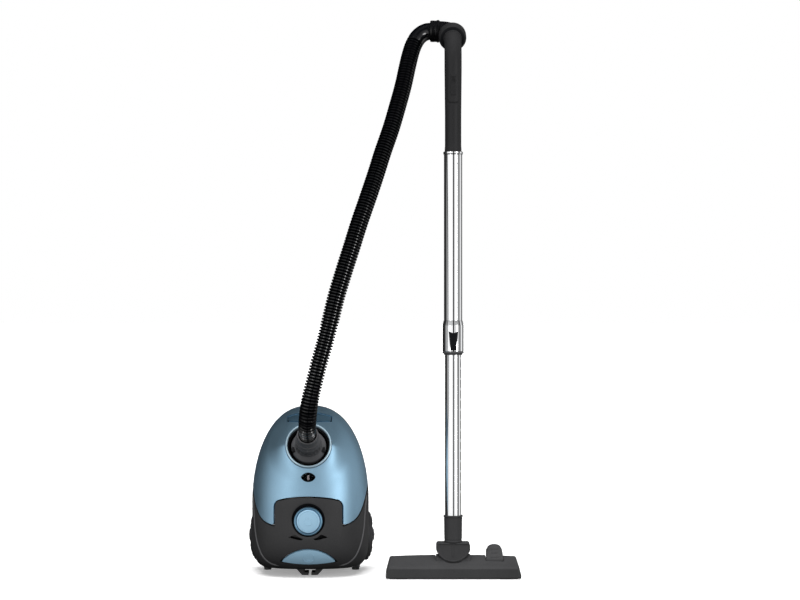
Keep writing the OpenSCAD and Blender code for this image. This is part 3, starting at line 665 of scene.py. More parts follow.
RING_TOP, RING_R, RING_DIP = 4.2, 44.6, 0.2
SWELL_R, SWELL_LIFT, SWELL_SINK = 80, 11.4, 6.6
SOCKET_OUT = np.array((0, -math.cos(math.radians(SOCKET_TILT)), math.sin(math.radians(SOCKET_TILT))))
SOCKET_DOWN = np.array((0, -math.sin(math.radians(SOCKET_TILT)), -math.cos(math.radians(SOCKET_TILT))))


def socket_field(radius):
    """Distance outside a cylinder round the socket's axis."""
    def field(p):
        away = p - SOCKET_AT
        return np.linalg.norm(away - (away @ SOCKET_OUT)[:, None] * SOCKET_OUT, axis=1) - radius
    return field


def swollen(skin):
    """Lifts the lid towards the socket's ring, most of all beside it and not at all above it."""
    away = skin[0] - SOCKET_AT
    radius = socket_field(0)(skin[0])
    heading = away @ SOCKET_DOWN / np.maximum(radius, 1)
    share = np.clip((SWELL_R - radius) / (SWELL_R - RING_R), 0, 1)
    lift = SWELL_LIFT - SWELL_SINK * np.maximum(0, heading) - SWELL_LIFT * np.maximum(0, -heading)
    lift = lift * share ** 2 * (3 - 2 * share)
    return skin[0] + lift[:, None] * SOCKET_OUT, skin[1], skin[2]


def parting(side):
    return lambda p: side * p[:, 1] - GAP - ROLL


def make_cover():
    skin = trimmed(form_skin(-1), parting(-1), less(REAR, GAP + ROLL), less(window_field(0.2), ROLL),
                   less(socket_field(RING_R), ROLL), less(latch_field(0.5), ROLL))
    piece("cover_shell", rolled(swollen(skin), ROLL, WALL), LACQUER, "cover", stands_for=("dust_cover",))


def finger_slot(p):
    """Two wedges under the button: outside its well, over a wide arc and under a line that falls sideways."""
    x, z = np.abs(p[:, 0]), p[:, 2]
    well_r, arc_z, arc_r, line_z, line_fall, line_x = 35.6, 188, 112.2, 89, 0.42, 22
    return np.maximum.reduce([well_r - np.hypot(x, z - BUTTON_Z), np.hypot(x, z - arc_z) - arc_r,
                              z - line_z + line_fall * np.maximum(0, x - line_x)])


def make_rear_housing():
    round_button = ring_field(0, BUTTON_Z + WELL_LIFT, WELL_RIM)
    skin = trimmed(form_skin(-1), parting(-1), minus(REAR, GAP + ROLL), less(round_button, ROLL),
                   less(pedal_field(0.6), ROLL), less(finger_slot, 0.4))

    def dish(p):
        width, depth = 3.5, 1.2
        return depth * np.clip((width - round_button(p)) / width, 0, 1) ** 2

    piece("rear_shell", rolled(relief(skin, dish), ROLL, WALL), HOUSING, "canister",
          stands_for=("rear_housing",))
    # The well round the button is satin black: painted shade for the hollow dish round the bezel. Well and
    # hole sit 2.2 mm higher than the button, so the dark ring is widest above it.
    cup = lathe([(WELL_RIM - 6, 89, 0.3), (WELL_RIM + 2.6, 89, 0.5), (WELL_RIM + 2.6, 96.5, 0.5),
                 (WELL_RIM + 1, 96.5, 0.5), (WELL_RIM + 0.6, 91.5, 2), (WELL_RIM - 6, 90.5, 0.3)])
    floor = lathe([(12, 86.5, 0.3), (28.6, 86.5, 0.3), (28.6, 89.4, 0.3), (12, 89.4, 0.3)])
    piece("button_well_painted_shade", together(moved(cup, shift(0, WELL_LIFT, 0)), floor), SATIN, "canister",
          at=CANISTER @ shift(0, 0, BUTTON_Z) @ TO_VIEWER)
    # A gloss black plate behind the finger slot: painted shade, so the slot reads as a dark undercut.
    piece("finger_slot_painted_shade", block(36, 10, 4, 0, 2, 0.6, y=80), GLOSS, "canister",
          at=CANISTER @ shift(0, -84, 0) @ TO_VIEWER)
    ribs = (111.5, 158), (109.5, 140), (108, 118), (106, 92), (101, 66), (91, 42), (76, 28), (58, 22.5)
    for side, name in SIDES:
        line = [(side * x, z) for x, z in ribs]
        piece(f"fairing_rib_{name}", form_bead(line, 4.0, 2.0), CUFF, "canister")


def make_power_button():
    at = CANISTER @ shift(0, 0, BUTTON_Z) @ TO_VIEWER
    bezel = lathe([(23.0, 89, 0.3), (27.7, 89, 0.3), (27.7, 99.8, 1.6), (25.4, 101.4, 1.2), (23.0, 99.4, 0.8)])
    piece("switch_bezel", bezel, LATCH_BLUE, "canister", at=at, stands_for=("button_bezel",))
    disc = lathe([(0, 92, 0), (6, 92, 0.4), (6, 95, 0.2), (22.5, 95, 0.5), (22.5, 101.2, 1.5),
                  (19.2, 101.9, 0.3), (19.0, 101.3, 0.15), (18.2, 101.3, 0.15), (18.0, 101.95, 0.3),
                  (0, 102.4, 0)])
    face, mark_r = 102.32, 7.4
    circle = [(mark_r * math.sin(a), mark_r * math.cos(a), face) for a in np.radians(np.arange(35, 326, 10))]
    bar = [(0, y, face) for y in np.linspace(3.4, 10.2, 8)]
    marks = [bead(np.array(line), np.tile((0, 0, 1.0), (len(line), 1)), 1.3, 0.75) for line in (circle, bar)]
    piece("power_disc", together(disc, *marks), ACCENT, "power_button", at=at, stands_for=("power_button",))


def make_rewind_pedal():
    skin = trimmed(form_skin(-1, inset=0.3, step=2.4), minus(pedal_field(0), 1.2))
    lens = rolled(skin, 1.2, 5.0)
    ring = [(11 * math.cos(a), PEDAL_Z - 1 + 9.6 * math.sin(a)) for a in np.radians(np.arange(118, 423, 8))]
    inner = [(7.0 * math.cos(a), PEDAL_Z - 1 + 6.1 * math.sin(a)) for a in np.radians(np.arange(-150, -29, 8))]
    plug = [(0, z) for z in np.linspace(PEDAL_Z - 1.5, PEDAL_Z + 7.5, 6)]
    marks = [form_bead(line, 1.5, 0.8) for line in (ring, inner, plug)]
    arm, post = (moved(part, shift(0, 0, PEDAL_Z) @ TO_VIEWER)
                 for part in (block(20.5, 4, 1, 73, 77, 0.5, x=16.5), block(4, 4, 1, 75, 85, 0.5)))
    piece("cord_pedal", together(lens, *marks, arm, post), ACCENT, "rewind_pedal",
          stands_for=("rewind_pedal",))


def make_latch():
    skin = trimmed(form_skin(-1, inset=0.8, step=2.2), minus(latch_field(0), 0.8))

    def dish(p):
        return 1.6 * np.clip(1 - (p[:, 0] / 30) ** 2, 0, 1) * np.clip((p[:, 2] - 305) / 5, 0, 1)

    tab = moved(block(14, 2, 0.8, 36.5, 44.5, 0.6, y=308), TO_VIEWER)
    piece("lid_catch", together(rolled(relief(skin, dish), 0.8, 3.4), tab), LATCH_BLUE, "cover_latch",
          stands_for=("cover_latch",))


def make_window():
    angle = math.degrees(math.acos(WINDOW_OFF / WINDOW_R))
    arc = np.radians(np.linspace(90 - angle, 90 + angle, 24)[1:-1])
    upper = [(WINDOW_R * math.cos(a), WINDOW_R * math.sin(a) - WINDOW_OFF) for a in arc]
    tip = WINDOW_R * math.sin(math.radians(angle))
    outline = np.array([(tip, 0)] + upper + [(-tip, 0)] + [(-x, -z) for x, z in upper])
    at = CANISTER @ shift(0, -WINDOW_LIFT, WINDOW_Z) @ TO_VIEWER
    piece("bag_window", soft_slab(outline, 95.2, 98, 0.7), SMOKED, "cover", at=at, stands_for=("window_lens",))
    wall, depth = 1.0, 86.5
    tub_outer, tub_inner = grown(outline, wall), grown(outline, -0.2)
    rings = [np.column_stack([o, np.full(len(o), z)]) for o, z in
             ((tub_inner, depth), (tub_inner, 95), (tub_outer, 95), (tub_outer, depth - 1))]
    piece("window_tub", loft(rings), SATIN, "cover", at=at)
    flag = together(block(2.2, 4.6, 2, 92.6, 94.8, 0.6), block(1, 1, 0.4, 84, 93, 0.2))
    piece("bag_full_flag", flag, RED, "bag_indicator", at=at, stands_for=("bag_indicator",))


def make_socket():
    def dip(radius, height, angle):
        return radius, height + RING_DIP * radius * np.minimum(0, np.sin(angle)) * (height > -6)

    ring = lathe([(41.0, -16, 0.3), (44.4, -16, 0.3), (RING_R, RING_TOP, 1.2), (42.6, RING_TOP + 0.8, 0.8),
                  (41.0, 3.4, 0.8)], wave=dip)
    piece("socket_trim", ring, TRIM, "cover", at=SOCKET, stands_for=("socket_ring",))
    bowl = lathe([(24.05, -24, 0.5), (40.9, -24, 1), (40.9, -2, 1), (37.5, -2, 1.2), (36.5, -20, 2),
                  (24.05, -20, 0.5)], wave=dip)
    piece("socket_cup", bowl, GLOSS, "cover", at=SOCKET, stands_for=("socket_bowl",))
    cuff = lathe([(17.2, -34, 0.4), (23.8, -34, 1), (23.8, -16, 0.5), (33.8, -16, 1.2), (33.8, -5, 2.4),
                  (30.4, -1, 2), (26.6, 3, 2), (25.6, 9, 0.3), (25.1, 9.4, 0.3), (25.2, 21, 1),
                  (24.4, 25, 0.4), (23.8, 25.6, 0.3), (23.5, 33, 1), (21.9, 35, 0.8), (21.6, 41, 0.4),
                  (21.2, 41.6, 0.4), (20.6, 50, 1.2), (17.6, 50, 0.8), (17.2, 46, 0.5)])
    flute = block(0.7, 7.25, 0.6, 24.6, 26.1, 0.4, y=11.75)
    flutes = [moved(flute, turn(15 * k, "Z") @ ALONG_X) for k in range(24) if k % 12 not in (0, 1, 11)]
    piece("hose_end_cuff", together(cuff, *flutes), CUFF, "hose_cuff", at=SOCKET, stands_for=("hose_cuff",))
    for side, name in SIDES:
        tab = block(3.5, 5, 0.8, -14.5, 1.6, 0.7, side * 28.5, -9.5)
        piece(f"{name}_release_tab", tab, BLACK, f"{name}_cuff_tab", at=SOCKET,
              stands_for=(f"{name}_cuff_tab",))


make_cover()
make_rear_housing()
make_power_button()
make_rewind_pedal()
make_latch()
make_window()
make_socket()


# The underside shell, with its wheel wells, castor cup and openings.

CASTOR_Z, CUP_R, WELL_R, WELL_X = 270, 26.5, 53, 101.5
GRILLE_AT, GRILLE_HALF, OUTLET_AT, OUTLET_R = (-52, 38), (24.5, 18.5), (56, 34), 9
FAR = 99.0  # a field's value where a hole in the low end can't reach


def back_y(x, z):
    half, _, back = form_sizes(z)
    return back * np.clip(1 - np.abs(x / half) ** BACK_POWER, 0, 1) ** (1 / BACK_POWER)


def outer_x(y, z):
    """How far the form reaches sideways at a place seen from the side."""
    half, front, back = form_sizes(z)
    share = np.where(y < 0, np.abs(y) / front, np.abs(y) / back)
    power = np.where(y < 0, FRONT_POWER, BACK_POWER)
    return half * np.clip(1 - share ** power, 0, 1) ** (1 / power)


def well_liner(side):
    """Drum round a wheel, as far out as the form reaches, with its inner wall."""
    angles = np.radians(np.arange(0, 360, 3))
    rings = []
    for radius, inner in ((WELL_R, True), (WELL_R + 2, False)):
        y, z = WHEEL_Y + radius * np.cos(angles), WHEEL_Z + radius * np.sin(angles)
        reach = np.where(y > GAP, outer_x(y, np.maximum(z, FLOOR + 1)), 0)
        reach = np.where(z < FLOOR + 2, 0, reach)
        outer = np.maximum(reach - 0.6, WELL_X)
        for x in (outer, np.full(len(angles), WELL_X - (0 if inner else 2))):
            rings.append(np.column_stack([side * x, y, z]))
    wall = [np.column_stack([np.full(len(angles), side * x), WHEEL_Y + 6 * np.cos(angles),
                             WHEEL_Z + 6 * np.sin(angles)]) for x in (WELL_X, WELL_X - 2)]
    return loft([wall[0], rings[1], rings[0], rings[2], rings[3], wall[1]])


def wheel_arch(p):
    around = np.hypot(p[:, 1] - WHEEL_Y, p[:, 2] - WHEEL_Z)
    return np.maximum(around - WELL_R, WELL_X - np.abs(p[:, 0]))


def grille_hole(p):
    (x, y), (half_x, half_y) = GRILLE_AT, GRILLE_HALF
    beside = np.maximum(np.abs(p[:, 0] - x) - half_x, np.abs(p[:, 1] - y) - half_y)
    return np.where(p[:, 2] < FLOOR + 3, beside, FAR)


def outlet_hole(p):
    beside = np.hypot(p[:, 0] - OUTLET_AT[0], p[:, 1] - OUTLET_AT[1]) - OUTLET_R
    return np.where(p[:, 2] < FLOOR + 3, beside, FAR)


def sunk_panel(p):
    """Depth of the shallow square panel on the underside."""
    inside = np.minimum(44 - np.abs(p[:, 0]), 44 - np.abs(p[:, 2] - 178))
    return 1.2 * np.clip(inside / 3, 0, 1)


def make_lower_housing():
    castor_hole = less(ring_field(0, CASTOR_Z, CUP_R), ROLL)
    skin = trimmed(form_skin(1), parting(1), wheel_arch, castor_hole, grille_hole, outlet_hole)
    piece("underside_shell", rolled(relief(skin, sunk_panel), ROLL, WALL), HOUSING, "canister",
          stands_for=("lower_housing",))
    lip = trimmed(form_skin(-1, inset=WALL + 0.3), lambda p: p[:, 1] + 5.5)
    piece("parting_lip", moved(rolled(lip, 0.3, 1.2), shift(0, 2, 0)), INNER, "canister")
    for side, name in SIDES:
        piece(f"{name}_wheel_well", well_liner(side), HOUSING, "canister")
        runner = [(side * 72, z) for z in range(128, 236, 6)]
        line, _ = along([(x, 0, z) for x, z in runner], 3)
        line[:, 1] = back_y(line[:, 0], line[:, 2])
        normals = np.tile((side * 0.35, 0.94, 0.05), (len(line), 1))
        piece(f"{name}_skid", bead(line, unit(normals), 5, 1.8), HOUSING, "canister")
        post = lathe([(0, 5, 0), (8.5, 5, 1.2), (8.5, 29, 1), (0, 29, 0)])
        foot = lathe([(0, 2, 0), (4, 2, 0.3), (4, 0, 0.5), (7.5, 0, 1.2), (7.5, 4.9, 0.5), (0, 4.9, 0)])
        at = CANISTER @ shift(side * 88, 50, 0)
        piece(f"{name}_foot_post", post, HOUSING, "canister", at=at)
        piece(f"{name}_foot", foot, RUBBER, "canister", at=at,
              stands_for=("rear_feet",) if side < 0 else ())
    cup = lathe([(3.1, 58, 0.4), (29.4, 58, 1), (29.4, 76.5, 0.5), (26.6, 76.5, 0.5), (26.6, 61, 2),
                 (8, 61, 0.5), (8, 61.4, 0.2), (3.1, 61.4, 0.2)])
    piece("castor_cup", cup, HOUSING, "canister", at=CANISTER @ shift(0, 0, CASTOR_Z) @ turn(-90, "X"))


def make_wheels():
    notch_step, notch_half = 20, 1.7
    angles = np.concatenate([k * notch_step + np.array((-2.6, -notch_half, notch_half, 2.6, 6.5, 10, 13.5))
                             for k in range(18)])

    def tread(radius, height, angle):
        turned = (np.degrees(angle) + notch_step / 2) % notch_step - notch_step / 2
        depth = np.where(np.abs(turned) <= notch_half + 0.01, 1.3, 0)
        spoke = np.cos(angle * 6) ** 2 * np.clip(1 - np.abs(radius - 31) / 5, 0, 1)
        return radius - depth * np.clip((radius - 47) / 2, 0, 1), height - 1.6 * spoke * (height > 15)

    profile = [(4.05, 0, 0.3), (46.5, 0, 1.5), (50, 1.2, 1), (51, 4, 1), (50.6, 8.2, 1.6), (47.6, 11.6, 1.2),
               (45.6, 10.4, 0.6), (43.8, 13.6, 1.2), (39.6, 15.8, 1.2), (37.6, 14.6, 0.6), (35.4, 17.2, 1),
               (28, 19, 1.2), (25.8, 17.2, 0.6), (22, 18.2, 0.8), (16, 18.4, 0.8), (13, 20, 1),
               (4.05, 20, 0.5)]
    for side, name in SIDES:
        at = CANISTER @ shift(0, WHEEL_Y, WHEEL_Z) @ turn(side * 90, "Y") @ shift(0, 0, WHEEL_IN)
        piece(f"{name}_road_wheel", lathe(profile, angles, tread), TYRE, f"{name}_wheel", at=at,
              stands_for=(f"{name}_wheel",))
        cap = lathe([(0, 19.2, 0), (3.9, 19.2, 0.2), (3.9, 20.3, 0.2), (11.4, 20.3, 0.4), (11.4, 21.6, 0.8),
                     (7.5, 22.2, 0.5), (6.8, 21.8, 0.3), (0, 23.3, 0)])
        piece(f"{name}_wheel_cap", cap, CUFF, "canister", at=at,
              stands_for=("wheel_caps",) if side < 0 else ())


# The wand: handle, elbow, tubes and their lock.

HANDLE_LOW, COLLAR_LOW, COLLAR_R, UPPER_LOW, UPPER_R, LOWER_R = 829, 440, 20.6, 456, 17.8, 16


def make_handle():
    """A grip that swells towards its bend, with a raised panel and a groove below it on its front."""
    straight = [(0, 0, z) for z in np.linspace(HANDLE_LOW, BEND_Z - 1, 120)]
    curve = [(0, BEND_R * (1 - math.cos(a)), BEND_Z + BEND_R * math.sin(a))
             for a in np.radians(np.arange(0, BEND_SWEEP + 1, 2.5))]
    path = np.vstack([straight, curve])
    panel_low, panel_high, panel_half = 922.5, 1012, 10.6
    sides = 72
    angle = np.arange(sides) * 2 * math.pi / sides
    facing, lateral = -np.cos(angle), np.sin(angle)
    radii = []
    for z in path[:, 2]:
        base = 15.9 + 0.9 * np.clip((z - 900) / 90, 0, 1) + 0.5 * np.exp(-((z - 833) / 5) ** 2)
        sideways = np.abs(lateral) * base
        corner = np.maximum(0, panel_low + 7.5 - z) / 7
        half = panel_half * np.sqrt(np.clip(1 - corner ** 2, 0, 1))
        fade = np.clip((panel_high - z) / 14, 0, 1) * (z > panel_low)
        inside = (facing > 0) & (sideways < half)
        groove = (facing > 0) & (sideways < 11) & (z > panel_low - 1.1) & (z < panel_low + 1.1)
        radii.append(base + 0.5 * fade * inside - 0.8 * groove)
    grip = sweep(path, radii, sides, start_side=(0, 1, 0))
    spigot = lathe([(14, 792, 0.3), (16.9, 792, 0.6), (16.9, 830, 0.3), (14, 830, 0.3)])
    piece("hand_grip", together(grip, spigot), GRIP, "wand", at=WAND, stands_for=("handle",))
    drum = lathe([(14.5, -3.5, 0.3), (17.6, -3.5, 1), (18.6, 1.4, 1), (19.4, 2.2, 0.3), (24.6, 3.4, 1.2),
                  (27.2, 7.4, 3), (27.2, 13.4, 0.4), (26.5, 14.1, 0.3), (26.5, 15.1, 0.3), (27.2, 15.8, 0.4),
                  (27.2, 23, 3), (24.4, 27, 1), (20.1, 27, 0.8), (20.1, 4.6, 0.5), (14.5, 4.6, 0.5)])
    piece("swivel_drum", drum, GRIP, "wand", at=HANDLE_END)
    # A satin black band where the drum meets the tube: painted shade of the gap between them.
    band = lathe([(18.4, 1.0, 0.2), (20.6, 1.6, 0.4), (23.4, 2.4, 0.4), (23.6, 3.8, 0.3), (18.4, 3.4, 0.2)])
    piece("drum_gap_painted_shade", band, SATIN, "wand", at=HANDLE_END)
    plate = block(5.5, 21, 1.5, 15.4, 17.3, 0.6, y=959)
    grips = [block(4.4, 0.5, 0.45, 17.0, 18.1, 0.4, y=964 + 2.6 * k) for k in range(5)]
    piece("air_slide_plate", moved(together(plate, *grips), TO_VIEWER), GRIP, "air_slider", at=WAND,
          stands_for=("air_slider",))


def make_elbow():
    """A tube out of the drum, a quarter turn, and a sleeve with a collar and a groove over the hose."""
    low, bend, run, sleeve = 6, 24, 22, 19.5
    a = np.radians(np.linspace(0, 90, 28))
    lead = [(0, 0, z) for z in np.linspace(low, low + run, 12, endpoint=False)]
    curve = np.column_stack([-bend * (1 - np.cos(a)), np.zeros(len(a)), low + run + bend * np.sin(a)])
    tail = [(-bend - x, 0, low + run + bend) for x in np.linspace(0.8, sleeve, 22)]
    path = np.vstack([lead, curve, tail])
    past = -bend - path[:, 0]
    radii = 19.9 + np.where(past > 0.5, 1.4, 0) + np.where((past > 2) & (past < 6), 1.1, 0)
    radii = radii - np.where((past > 9) & (past < 10.4), 0.7, 0) - np.where(past > sleeve - 1, 1.0, 0)
    piece("hose_elbow", sweep(path, radii, 56, start_side=(0, 1, 0)), GLOSS, "canister", at=HANDLE_END,
          stands_for=("swivel_elbow",), sharp=50)


def flat_skin(half, low, high, y, step=2.0):
    """A flat grid that faces the viewer."""
    x, z = np.meshgrid(np.arange(-half, half + step / 2, step), np.arange(low, high + step / 2, step))
    points = np.stack([x, np.full_like(x, y), z], -1).reshape(-1, 3)
    return points, np.tile((0.0, -1.0, 0.0), (len(points), 1)), grid_faces(*x.shape, close_columns=False)


def make_tubes():
    upper = lathe([(17.05, UPPER_LOW, 0.2), (UPPER_R, UPPER_LOW, 0.3), (UPPER_R, 822.6, 1.5), (19.1, 825, 0.8),
                   (19.1, 828.6, 0.8), (17.3, 829, 0.3), (17.05, 826, 0.3)], np.arange(0, 360, 2.5))
    piece("chrome_upper_tube", upper, CHROME, "wand", at=WAND, stands_for=("upper_tube",))
    notches = [164 + 20 * k for k in range(14)]
    heights = [104.4]
    for low in notches:
        heights += [low - 1, low - 0.4, low + 0.5, low + 4, low + 4.9, low + 5.5]
    heights += [499.6]
    angles = np.radians([*np.arange(0, 30, 1.5), *np.arange(30, 331, 5), *np.arange(331.5, 360, 1.5)])

    def ring(radius, z):
        shape = np.column_stack([radius * np.cos(angles), radius * np.sin(angles), np.full(len(angles), z)])
        pressed = any(low + 0.4 < z < low + 4.2 for low in notches)
        if pressed and radius > LOWER_R - 0.5:
            shape[:, 0] = np.minimum(shape[:, 0], LOWER_R - 1.5)
        return shape

    outside = [ring(LOWER_R, z) for z in heights]
    rings = [ring(LOWER_R - 0.9, 104.2), ring(LOWER_R - 0.3, 104), *outside, ring(LOWER_R - 0.3, 500),
             ring(LOWER_R - 0.9, 500)]
    hollow = np.asarray(rings).reshape(-1, 3), grid_faces(len(rings), len(angles), close_rows=True)
    piece("chrome_lower_tube", hollow, CHROME, "lower_tube", at=WAND, stands_for=("lower_tube",),
          sharp=25)
    collar = lathe([(16.15, COLLAR_LOW, 0.2), (20.2, COLLAR_LOW, 0.4), (COLLAR_R, COLLAR_LOW + 0.6, 0.3),
                    (COLLAR_R, 490.5, 5), (18.5, 499.4, 2), (18.2, 500, 0.2), (17.9, 500, 0.1),
                    (17.9, 456.5, 0.3), (16.15, 456.5, 0.3)], np.arange(0, 360, 2.5))
    piece("tube_lock_collar", collar, CHROME, "wand", at=WAND, stands_for=("lock_collar",),
          sharp=30)
    guide = lathe([(16.1, 433, 0.4), (17.6, 433, 0.6), (18.2, 435.6, 0.8), (20.6, 436.4, 0.6),
                   (20.9, 438.2, 0.8), (20.4, 439.8, 0.5), (16.1, 439.8, 0.3)])
    piece("tube_guide_ring", guide, CUFF, "wand", at=WAND, stands_for=("tube_end_ring",))


def make_lock_button():
    """A plate that curves round the collar, with a dished top, a hollow and three ribs."""
    dip = [(9.6 * s, 480.6 - 4.6 * (1 - s * s)) for s in np.linspace(1, -1, 11)]
    outline = np.array([(-6, 442), (6, 442), *dip])
    skin = trimmed(flat_skin(12, 440, 484, 0, 1.6), less(minus(outline_field(outline)), 0.7))
    skin = (skin[0] - (0, 1, 0) * np.sqrt(22.6 ** 2 - skin[0][:, :1] ** 2),
            unit(skin[1] + skin[0] * (0.044, 0, 0)), skin[2])

    def press(p):
        return 0.7 * np.clip(1 - np.hypot(p[:, 0] / 6.5, (p[:, 2] - 466) / 11), 0, 1) ** 0.6

    button = rolled(relief(skin, press), 0.7, 3.0)
    ribs = [bead(np.array([(x, -math.sqrt(22.5 ** 2 - x * x), z) for x in np.linspace(-w, w, 12)]),
                 np.tile((0.0, -1.0, 0.0), (12, 1)), 1.2, 0.9)
            for w, z in ((4, 446), (4.3, 449.5), (4.6, 453))]
    piece("slide_lock_button", together(button, *ribs), SATIN, "lock_button", at=WAND,
          stands_for=("lock_button",))


# The floor head.

HEAD_HALF, PEDAL_X = 131, 81
PIVOT = (0, 2, 30)


def head_skin():
    """The head's cover: its side view run along X, with ends that lean in and a slightly crowned top."""
    low = 2.6
    profile = rounded([(-37.8, low, 0), (-37.8, 20.4, 1.6), (-34.6, 24.6, 0.8), (7, 40.2, 4), (28, 40.2, 4),
                       (37.8, 29.4, 3), (37.8, low, 0)], closed=False, steps=6)
    reach = np.concatenate([[0], np.cumsum(np.linalg.norm(np.diff(profile, axis=0), axis=1))])
    even = np.union1d(np.round(reach, 4), np.linspace(0, reach[-1], 52))
    profile = np.stack([np.interp(even, reach, profile[:, k]) for k in range(2)], 1)
    centre = np.array((0, 14.0))
    edge = 3.5
    lean = math.tan(math.radians(14))
    stations = [(u, 0.0) for u in np.linspace(-1, 1, 95)]
    corner = [(1, t) for t in np.radians((22, 45, 67, 90))]
    stations = [(-u, t) for u, t in reversed(corner)] + stations + corner
    rows = []
    for u, t in stations:
        drop = edge * (1 - math.cos(t))
        shape = profile + unit(centre - profile) * drop
        crown = -2.6 * min(1.0, u * u) * np.clip((shape[:, 1] - 24) / 12, 0, 1)
        z = shape[:, 1] + crown
        end = HEAD_HALF - edge - np.maximum(0, z - 8) * lean
        x = u * end + np.sign(u) * edge * math.sin(t)
        rows.append(np.column_stack([x, shape[:, 0], z]))
    for side in (0, -1):
        last = rows[side]
        caps = []
        for s in (0.8, 0.6, 0.4, 0.2):
            inner = last.copy()
            inner[:, 1] *= s
            inner[:, 2] = low + (inner[:, 2] - low) * s
            inner[:, 0] = np.sign(last[:, 0]) * (HEAD_HALF - np.maximum(0, inner[:, 2] - 8) * lean)
            caps.append(inner)
        rows = caps[::-1] + rows if side == 0 else rows + caps
    grid = np.array(rows)
    normals = unit(np.cross(np.gradient(grid, axis=0), np.gradient(grid, axis=1)))
    flip = np.sign(((grid - (0, 0, 12)) * (0.2, 1, 1) * normals).sum(-1, keepdims=True))
    normals = normals * np.where(flip == 0, 1, flip)
    faces = grid_faces(*grid.shape[:2], close_columns=False)
    points, normals = grid.reshape(-1, 3), normals.reshape(-1, 3)
    a, b, c = (points[[f[k] for f in faces]] for k in range(3))
    if (np.cross(b - a, c - b) * normals[[f[0] for f in faces]]).sum() < 0:
        faces = [tuple(reversed(f)) for f in faces]
    return points, normals, faces


def make_head():
    def cradle(p):
        edge = np.where(p[:, 1] < 9, 30.2 + 8.5 * (np.abs(p[:, 0]) / 27) ** 2.8, 19)
        return np.maximum(np.abs(p[:, 0]) - 34.0, edge - p[:, 2])

    def pocket(p):
        box = np.maximum(np.abs(p[:, 0] - PEDAL_X) - 17.5, np.abs(p[:, 1] - 11.6) - 22.6)
        return np.maximum(box, 16 - p[:, 2])

    skin = trimmed(head_skin(), less(cradle, 0.7), less(pocket, 0.6))
    trough = np.array([(21.4 * math.cos(a) + PIVOT[1], 21.4 * math.sin(a) + PIVOT[2])
                       for a in np.radians(np.linspace(200, 334, 26))])
    outer = np.array([(y * 1.02, z - 1.6) for y, z in trough])
    section = np.vstack([trough, outer[::-1]])
    cradle_bed = loft([np.column_stack([np.full(len(section), x), section]) for x in (-36.4, 36.4)])
    side = rounded([(-12, 8, 2), (30, 8, 2), (30, 30, 4), (-12, 28, 2)])
    walls = [moved(soft_slab(side, x, x + 1.6, 0.4), ALONG_X) for x in (PEDAL_X - 20.4, PEDAL_X + 18.8)]
    floor = block(18.8, 23, 1, 11.5, 13, 0.4, PEDAL_X, 11)
    piece("head_shell", rolled(skin, 0.7, 2.4), HEAD, "head", at=WAND, stands_for=("head_cover",))
    piece("head_inner_walls", together(cradle_bed, *walls, floor), INNER, "head", at=WAND)


def make_yoke():
    """The yoke's front is a D-shaped plate with a raised rim."""
    arc_z, arc_r, half, start = 66.6, 35.6, 33.0, 22
    arc = [(arc_r * math.cos(a), arc_z + arc_r * math.sin(a))
           for a in np.radians(np.linspace(180 + start, 360 - start, 40))]
    crown = [(half, 62), (half - 1.2, 66.4), (half - 4, 68), (4 - half, 68), (1.2 - half, 66.4), (-half, 62)]
    outline = np.array(arc + crown)
    rim = 2.2
    levels = [(-19, -0.8), (-18.2, 0), (13.6, 0), (14.8, -0.4), (15.2, -1.1), (15.0, -rim),
              (14.0, -rim - 0.5), (13.9, -5)]
    block = moved(slab(outline, levels), TO_VIEWER)
    barrel = lathe([(5, -33.4, 0.3), (14.0, -33.4, 1), (15.0, -32.2, 0.8), (15.0, 32.2, 0.8), (14.0, 33.4, 1),
                    (5, 33.4, 0.3)])
    pins = lathe([(0, -41, 0), (5, -41, 0.6), (5, 41, 0.6), (0, 41, 0)])
    at = shift(*PIVOT) @ turn(90, "Y")
    piece("neck_yoke", together(block, moved(barrel, at), moved(pins, at)), HEAD, "yoke", at=WAND,
          stands_for=("yoke",))
    tube = lathe([(12.6, 40.3, 0.4), (14.4, 40.3, 0.5), (14.4, 68.4, 0.2), (17.0, 68.4, 0.6), (17.4, 71, 0.6),
                  (16.9, 72, 0.3), (16.9, 73.4, 0.3), (17.4, 74.4, 0.5), (17.8, 116.6, 0.6), (19.0, 118, 0.6),
                  (19.0, 120.4, 0.8), (17.2, 121, 0.4), (16.1, 119.4, 0.3), (16.1, 105, 0.3),
                  (12.6, 104, 0.3)])
    piece("neck_tube", tube, HEAD, "lower_tube", at=WAND, stands_for=("neck",))


